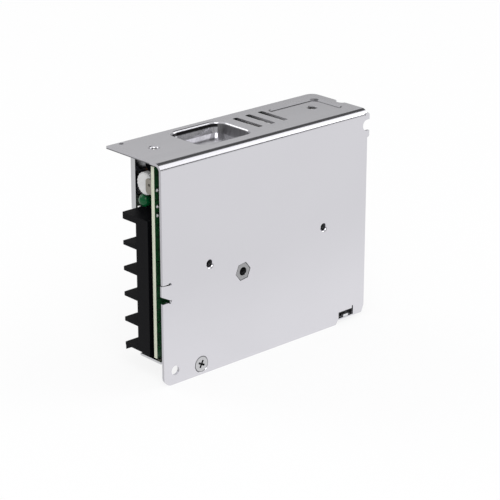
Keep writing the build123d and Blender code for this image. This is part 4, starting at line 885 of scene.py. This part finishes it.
def addDiscs(node, axis, coat):
    shape = Shape()
    other = 2 - axis
    for low, high in solids(node):
        middle, half = (low + high) / 2, (high - low) / 2
        radius, thick = half[1], half[axis]
        a = np.linspace(-math.pi / 2, math.pi / 2, discs["rimSteps"])
        rim = thick * discs["rim"]
        across = np.maximum(radius - rim + rim * np.cos(a), 0.0)
        face = [(radius * share, thick * full) for share, full in discs["bulge"]]
        rows = [(r, -h) for r, h in face] + list(zip(across, rim * discs["rimHigh"] * np.sin(a))) + face[::-1]
        shape.revolve(rows, middle, axis, 0, discs["sides"])
        for side in (-1, 1):
            path = np.repeat(middle[None], discs["wireSteps"], axis=0)
            path[:, other] += side * radius * discs["pitch"]
            path[:, 1] = np.linspace(middle[1] - radius * discs["rise"], low[1], discs["wireSteps"])
            shape.tube(path, discs["wire"], np.eye(3)[other], 1)
    addPiece(node + "_discs", shape, [coat, tinFinish], (node,))


addDiscs("y_capacitors", 2, moulded("discBlue", coat=0.5))
addDiscs("inrush_thermistor", 0, moulded("darkCoat"))
print("discs added")


# Resistors: a waisted body with colour bands and wires bent down to the board
resistorForm = {
    "neck": 0.78,                # share of the radius between the ends
    "full": 0.62, "round": 0.8,  # shares of the half length where the ends are full and where they round off
    "steps": 25, "sides": 24, "wire": 0.3, "grip": 0.4, "reach": 1.3, "bend": 0.5,
    # Place along the body and tint of each band
    "bands": ((0.16, (0.10, 0.02, 0.005)), (0.36, (0.003, 0.003, 0.003)), (0.52, (0.30, 0.04, 0.01)),
              (0.84, (0.50, 0.34, 0.07))),
    "bandWide": (0.035, 0.045), "worn": 0.85, "haze": 0.08,
}


def bandedCoat():
    tint, rough, waves, depth = plastics["resistorCoat"]
    paint = Surface("bandedCoat")
    run = paint.spot()[2]
    colour = paint.worn(paint.noise(0.8), tint, resistorForm["worn"])
    for place, band in resistorForm["bands"]:
        away = (run - place).maths("ABSOLUTE")
        colour = paint.mix(1.0 - paint.step(away, *resistorForm["bandWide"]), colour, band)
    return paint.shade(baseColor=colour, roughness=rough + resistorForm["haze"] * paint.noise(1.5),
                       coatWeight=0.3, coatRoughness=0.15, normal=paint.bump(paint.noise(waves), depth))


# A wire from a point, straight out along an axis, round a bend and down to the board
def bentLead(start, axis, way, form, floorY, steps=8):
    reach, bend = form["reach"], form["bend"]
    a = np.linspace(0, math.pi / 2, steps)
    out = np.concatenate(([0.0], reach - bend + bend * np.sin(a), [reach]))
    down = np.concatenate(([0.0], bend - bend * np.cos(a), [start[1] - floorY]))
    path = np.repeat(start[None], len(out), axis=0)
    path[:, axis] += way * out
    path[:, 1] -= down
    return path


def addResistors():
    shape = Shape()
    run = np.linspace(-1, 1, resistorForm["steps"])
    ends = np.abs(run)
    # Full at both ends, narrower between and smoothed, then rounded off like a circle at the very ends
    body = np.where(ends > resistorForm["full"], 1.0, resistorForm["neck"])
    body = np.convolve(np.pad(body, 2, mode="edge"), np.ones(5) / 5, mode="valid")
    tip = np.clip((ends - resistorForm["round"]) / (1 - resistorForm["round"]), 0, 1)
    body = body * np.sqrt(1 - tip ** 2)
    for low, high in solids("resistors"):
        middle, radius, half = (low + high) / 2, (high[1] - low[1]) / 2, (high[0] - low[0]) / 2
        shape.revolve(list(zip(radius * body, run * half)), middle, 0, 0, resistorForm["sides"])
        for way in (-1, 1):
            start = middle + np.array((way * (half - resistorForm["grip"]), 0, 0))
            path = bentLead(start, 0, way, resistorForm, low[1])
            shape.tube(path, resistorForm["wire"], (0, 0, 1), 1)
    addPiece("banded_resistors", shape, [bandedCoat(), tinFinish], ("resistors",))


# Fuse: a clay tube in two pressed metal caps, with a wire from each
fuseForm = {
    "cap": 2.2, "capStep": 0.1, "edge": 0.3, "tube": 0.9, "sides": 32,
    "wire": 0.35, "grip": 0.3, "reach": 1.1, "bend": 0.6,
}


def addFuse():
    low, high = box("fuse")
    middle, radius, half = (low + high) / 2, (high[1] - low[1]) / 2, (high[2] - low[2]) / 2
    edge, cap, thin = fuseForm["edge"], half - fuseForm["cap"], radius * fuseForm["tube"]
    side = [(0.0, half), (radius - edge, half), (radius, half - edge), (radius, cap), (thin, cap),
            (thin, cap - fuseForm["capStep"])]
    rows = [(r, -h) for r, h in side] + side[::-1]
    shape = Shape()
    shape.revolve(rows, middle, 2, [1] * 4 + [0] * 3 + [1] * 4, fuseForm["sides"])
    for way in (-1, 1):
        start = middle + np.array((0, 0, way * (half - fuseForm["grip"])))
        path = bentLead(start, 2, way, fuseForm, low[1])
        shape.tube(path, fuseForm["wire"], (1, 0, 0), 1)
    addPiece("capped_fuse", shape, [moulded("fuseClay"), tinFinish], ("fuse",))


addResistors()
addFuse()
print("resistors and fuse added")


# Solder joints: a hollow cone that climbs the pin, and the pin's tip
jointForm = {
    "foot": 0.75, "pin": 0.26,       # radii of the cone's foot and of the pin
    "climb": 0.72, "tipFrom": 0.94,  # shares of the height where the cone ends and where the tip begins
    "hollow": 2.4, "tipWide": 0.6, "rows": 7, "sides": 14,
}


def addJoints():
    shape = Shape()
    share = np.linspace(0, 1, jointForm["rows"])
    for low, high in solids("solder_joints"):
        middle, radius, height = (low + high) / 2, (high[0] - low[0]) / 2, high[1] - low[1]
        pin = radius * jointForm["pin"] / jointForm["foot"]
        cone = pin + (radius - pin) * (1 - share) ** jointForm["hollow"]
        rows = [(0.0, 0.0)] + list(zip(cone, -height * jointForm["climb"] * share))
        rows += [(pin, -height * jointForm["tipFrom"]), (pin * jointForm["tipWide"], -height), (0.0, -height)]
        shape.revolve(rows, (middle[0], high[1], middle[2]), 1, 0, jointForm["sides"])
    addPiece("joint_cones", shape, [solderFinish], ("solder_joints",))


# Threads of the tapped holes: a ridge up each bore, painted dark with shade in the panel's two and bright in
# the flange's
threads = {
    "pitch": 0.5, "ridge": 0.13, "radius": 1.27, "from": 0.95, "to": 2.45, "steps": 20, "sides": 6,
    "panelX": (-27.5, 27.5), "flangeX": (-38.0, 37.0), "flangeY": 16.8, "flangeSunk": (0.0, 0.6),
}


def addThreads():
    shape = Shape()
    top = box("chassis")[1][2]
    turns = (threads["to"] - threads["from"]) / threads["pitch"]
    turn = np.linspace(0, turns * 2 * math.pi, int(turns * threads["steps"]))
    c, s = threads["radius"] * np.cos(turn), threads["radius"] * np.sin(turn)
    deep = threads["from"] + turn / (2 * math.pi) * threads["pitch"]
    for x in threads["panelX"]:
        path = np.stack((x + c, deep, s), axis=-1)
        shape.tube(path, threads["ridge"], (0, 1, 0), 0, threads["sides"])
    for x, sunk in zip(threads["flangeX"], threads["flangeSunk"]):
        path = np.stack((x + c, threads["flangeY"] + s, top - deep - sunk), axis=-1)
        shape.tube(path, threads["ridge"], (0, 0, 1), 1, threads["sides"])
    addPiece("tapped_threads", shape, [shadedThreadFinish, brightThread])


# Tape on the transformer: wound over the bobbin, inset by the cube of the way from its middle to its flanges
tapeForm = {"shrink": 0.35, "close": 0.6, "power": 4.5, "steps": 48, "rows": 9}


def addTape():
    low, high = box("transformer_winding")
    middle, half = (low + high) / 2, (high - low) / 2
    turn = np.linspace(0, 2 * math.pi, tapeForm["steps"], endpoint=False)
    run = np.linspace(-1, 1, tapeForm["rows"])
    inset = np.pad(tapeForm["shrink"] * np.abs(run) ** 3, 1, constant_values=half[0] * tapeForm["close"])
    rows = []
    for share, less in zip(np.pad(run, 1, mode="edge"), inset):
        x, y = roundedRing(turn, half[0] - less, half[1] - less, tapeForm["power"])
        height = np.full_like(x, middle[2] + share * half[2])
        rows.append(np.stack((middle[0] + x, middle[1] + y, height), axis=-1))
    shape = Shape()
    shape.grid(np.stack(rows))
    addPiece("wound_tape", shape, [tapeFinish], ("transformer_winding",))


addJoints()
addThreads()
addTape()
print("joints, threads and tape added")


# Edges that a mould or a press leaves round, in millimetres
roundEdges = {
    "terminal_housing": 0.18, "trimmer_body": 0.12, "transformer_core": 0.25, "transformer_bobbin": 0.15,
    "line_choke_core": 0.25, "output_choke_core": 0.45, "board_standoff": 0.35, "bridge_rectifier": 0.20,
    "control_circuit": 0.10, "optocoupler": 0.10, "terminal_contacts": 0.08, "transistor_heatsink": 0.10,
    "x_capacitor": 0.25,
}
for nodeName, width in roundEdges.items():
    addSoftened(nodeName, width, finishes[nodeName])
addSoftened("cover_screw", head["edge"], finishes["cover_screw"], turn=head["turn"])
print("edges rounded on", len(roundEdges), "pieces")
